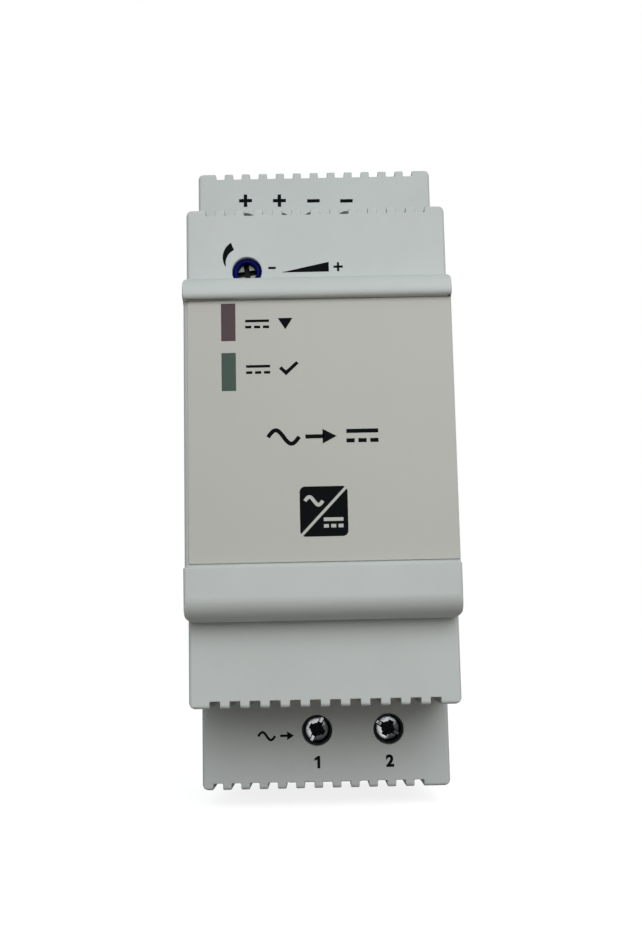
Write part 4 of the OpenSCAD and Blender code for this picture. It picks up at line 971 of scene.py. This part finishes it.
def printOn(name, patches, front):  # joins the patches, gives them the ink's thickness, sets them on a face
    deselectAll()
    for patch in patches:
        patch.select_set(True)
    bpy.context.view_layer.objects.active = patches[0]
    if len(patches) > 1:
        bpy.ops.object.join()
    piece = bpy.context.object
    edit()
    bpy.ops.mesh.select_all(action="SELECT")
    bpy.ops.mesh.remove_doubles(threshold=2 * weld)
    thickenPicked(ink["thickness"])
    faceOutwards()
    doneEditing()
    piece.data.transform(inkOn(front))
    return finishPiece(piece, name, "marking_ink", "case")


def inkPatches(outlines):
    return [inkPatch(points) for points in outlines]


shelfFront = -26.5 * mm
shoulderFront = -44.0 * mm
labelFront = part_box("front_label")[0].y

poles = {"plus": [(-10.39, 41.16), (-5.27, 41.07)], "minus": [(-0.12, 40.93), (4.87, 40.83)],
         "size": 1.95, "minusShare": 0.97, "stroke": 0.52}
printOn("output_marks", inkPatches(
    [cross(x, y, poles["size"], poles["stroke"]) for x, y in poles["plus"]]
    + [bar(x, y, poles["size"] * poles["minusShare"], poles["stroke"]) for x, y in poles["minus"]]
), shelfFront)

adjust = {"outer": (-10.17, 26.53, 2.42, 122, 212), "inner": (-10.21, 25.75, 1.99, 115, 193.4), "stroke": 0.3,
          "minus": (-5.95, 24.95, 1.0), "wedge": [(-4.7, 24.3), (1.7, 24.3), (1.7, 25.65)],
          "plus": (2.95, 24.95, 1.25)}
printOn("adjust_marks", inkPatches([
    growingArc(adjust["outer"], adjust["inner"]),
    bar(*adjust["minus"], adjust["stroke"]),
    adjust["wedge"],
    cross(*adjust["plus"], adjust["stroke"])]), shoulderFront)

# outlines from each lamp's mark point
lamps = {"low": (-9.45, 15.96), "on": (-9.4, 9.92), "signAt": 1.6, "signSize": (3.1, 1.15), "stroke": 0.34,
         "arrow": [(4.3, 0.72), (6.2, 0.72), (5.25, -0.78)],
         "tick": [(4.3, 0.05), (4.62, 0.35), (5.2, -0.22), (6.55, 1.0), (6.85, 0.7), (5.2, -0.85)]}
lampOutlines = []
for lampName, shape in (("low", "arrow"), ("on", "tick")):
    x, y = lamps[lampName]
    lampOutlines += directCurrent(x + lamps["signAt"], y, *lamps["signSize"], lamps["stroke"])
    lampOutlines.append(moved(lamps[shape], x, y))
printOn("lamp_marks", inkPatches(lampOutlines), labelFront)

converter = {"middle": (0.44, 1.0), "stroke": 0.52, "waveAt": -5.1, "waveSize": (4.0, 2.3),
             "lineAt": -1.1, "lineLen": 2.4, "arrow": [(-0.1, 0.95), (1.7, 0), (-0.1, -0.95)],
             "signAt": 5.0, "signSize": (4.1, 1.75)}
x, y = converter["middle"]
stroke = converter["stroke"]
printOn("conversion_marks", inkPatches(
    [wave(x + converter["waveAt"], y, *converter["waveSize"], stroke),
     bar(x + converter["lineAt"], y, converter["lineLen"], stroke),
     moved(converter["arrow"], x, y)]
    + directCurrent(x + converter["signAt"], y, *converter["signSize"], stroke)), labelFront)

badge = {"middle": (0.31, -8.66), "width": 6.1, "height": 6.4, "corner": 0.7, "slit": 0.42, "stroke": 0.46,
         "waveAt": (-1.25, 1.35), "waveSize": (2.3, 1.5), "signAt": (1.2, -1.45), "signSize": (2.5, 1.3)}


def halfBadge(upper):  # half of a rounded square, cut along its rising diagonal, with its sign left open
    x, y = badge["middle"]
    w, h, r = badge["width"] / 2, badge["height"] / 2, badge["corner"]
    roundSteps = 6
    outline = []
    for side, rise, start in ((1, 1, 0), (-1, 1, 90), (-1, -1, 180), (1, -1, 270)):
        outline += arcPoints(x + side * (w - r), y + rise * (h - r), r, start, start + 90, roundSteps)
    patch = inkPatch(outline)
    thickenAll(patch, ink["block"])
    across = Vector((-h, w, 0)).normalized() * (1 if upper else -1)
    point = Vector((x * mm, y * mm, 0)) + across * badge["slit"] / 2 * mm
    bpy.ops.mesh.bisect(plane_co=point, plane_no=across, clear_inner=True, use_fill=True)
    doneEditing()
    if upper:
        right, up = badge["waveAt"]
        outlines = [wave(x + right, y + up, *badge["waveSize"], badge["stroke"])]
    else:
        right, up = badge["signAt"]
        outlines = directCurrent(x + right, y + up, *badge["signSize"], badge["stroke"])
    for points in outlines:
        cutter = inkPatch(points)
        thickenAll(cutter, ink["cutter"])
        doneEditing()
        cutter.data.transform(Matrix.Translation((0, 0, ink["cutterFrom"] * mm)))
        cutWith(patch, cutter)
    patch.data.transform(Matrix.Diagonal((1, 1, ink["thickness"] / ink["block"], 1)))
    patch.data.transform(inkOn(labelFront))
    return finishPiece(patch, "badge_" + ("upper" if upper else "lower"), "marking_ink", "case")


halfBadge(True)
halfBadge(False)

inputs = {"two": (9.03, -41.9), "one": (-1.08, -41.9), "height": 1.72, "weight": 0.045,
          "wave": (-8.35, -38.15), "waveSize": (2.4, 1.45), "waveStroke": 0.34,
          "arrow": (-5.5, -38.15), "shaft": (-0.35, 1.2, 0.32), "head": [(0.05, 0.6), (1.0, 0), (0.05, -0.6)]}
top = inputs["height"] / 2
figureOne = [(0.24, -top), (0.24, top), (-0.08, top), (-0.56, top - 0.34), (-0.56, top - 0.7),
             (-0.16, top - 0.5), (-0.16, -top)]
x, y = inputs["arrow"]
shaftAt, shaftLen, shaftWidth = inputs["shaft"]
printOn("input_marks", [numeral("2", *inputs["two"], inputs["height"], inputs["weight"])] + inkPatches([
    moved(figureOne, *inputs["one"]),
    wave(*inputs["wave"], *inputs["waveSize"], inputs["waveStroke"]),
    bar(x + shaftAt, y, shaftLen, shaftWidth),
    moved(inputs["head"], x, y)]), shelfFront)
print("marks are printed")

floorHeight = min(corner[2] for corner in cadBox) - room["floorBelow"]
deselectAll()
bpy.ops.mesh.primitive_plane_add(size=room["floorSize"], location=(0, 0, floorHeight))
floor = bpy.context.object
floor.name = "floor"
bpy.ops.object.transform_apply(location=True, rotation=True, scale=True)

# white paper: seen directly it is lifted to white and keeps its shadow, and its bounce is grey
paperFinish = bpy.data.materials.new("white_paper")
paperFinish.use_nodes = True
tree = paperFinish.node_tree
tree.nodes.clear()
bounce = addNode(tree, "ShaderNodeBsdfDiffuse", {"Color": linearColour(room["floorColour"])})
paper = addNode(tree, "ShaderNodeBsdfDiffuse", {"Color": linearColour(room["paperColour"])})
glow = addNode(tree, "ShaderNodeEmission", {"Color": (1, 1, 1, 1), "Strength": room["paperGlow"]})
lifted = addNode(tree, "ShaderNodeAddShader", None, {0: paper.outputs[0], 1: glow.outputs[0]})
shown = addNode(tree, "ShaderNodeMixShader", None,
                {0: directRays(tree), 1: bounce.outputs[0], 2: lifted.outputs[0]})
addNode(tree, "ShaderNodeOutputMaterial", None, {"Surface": shown.outputs[0]})
floor.data.materials.append(paperFinish)
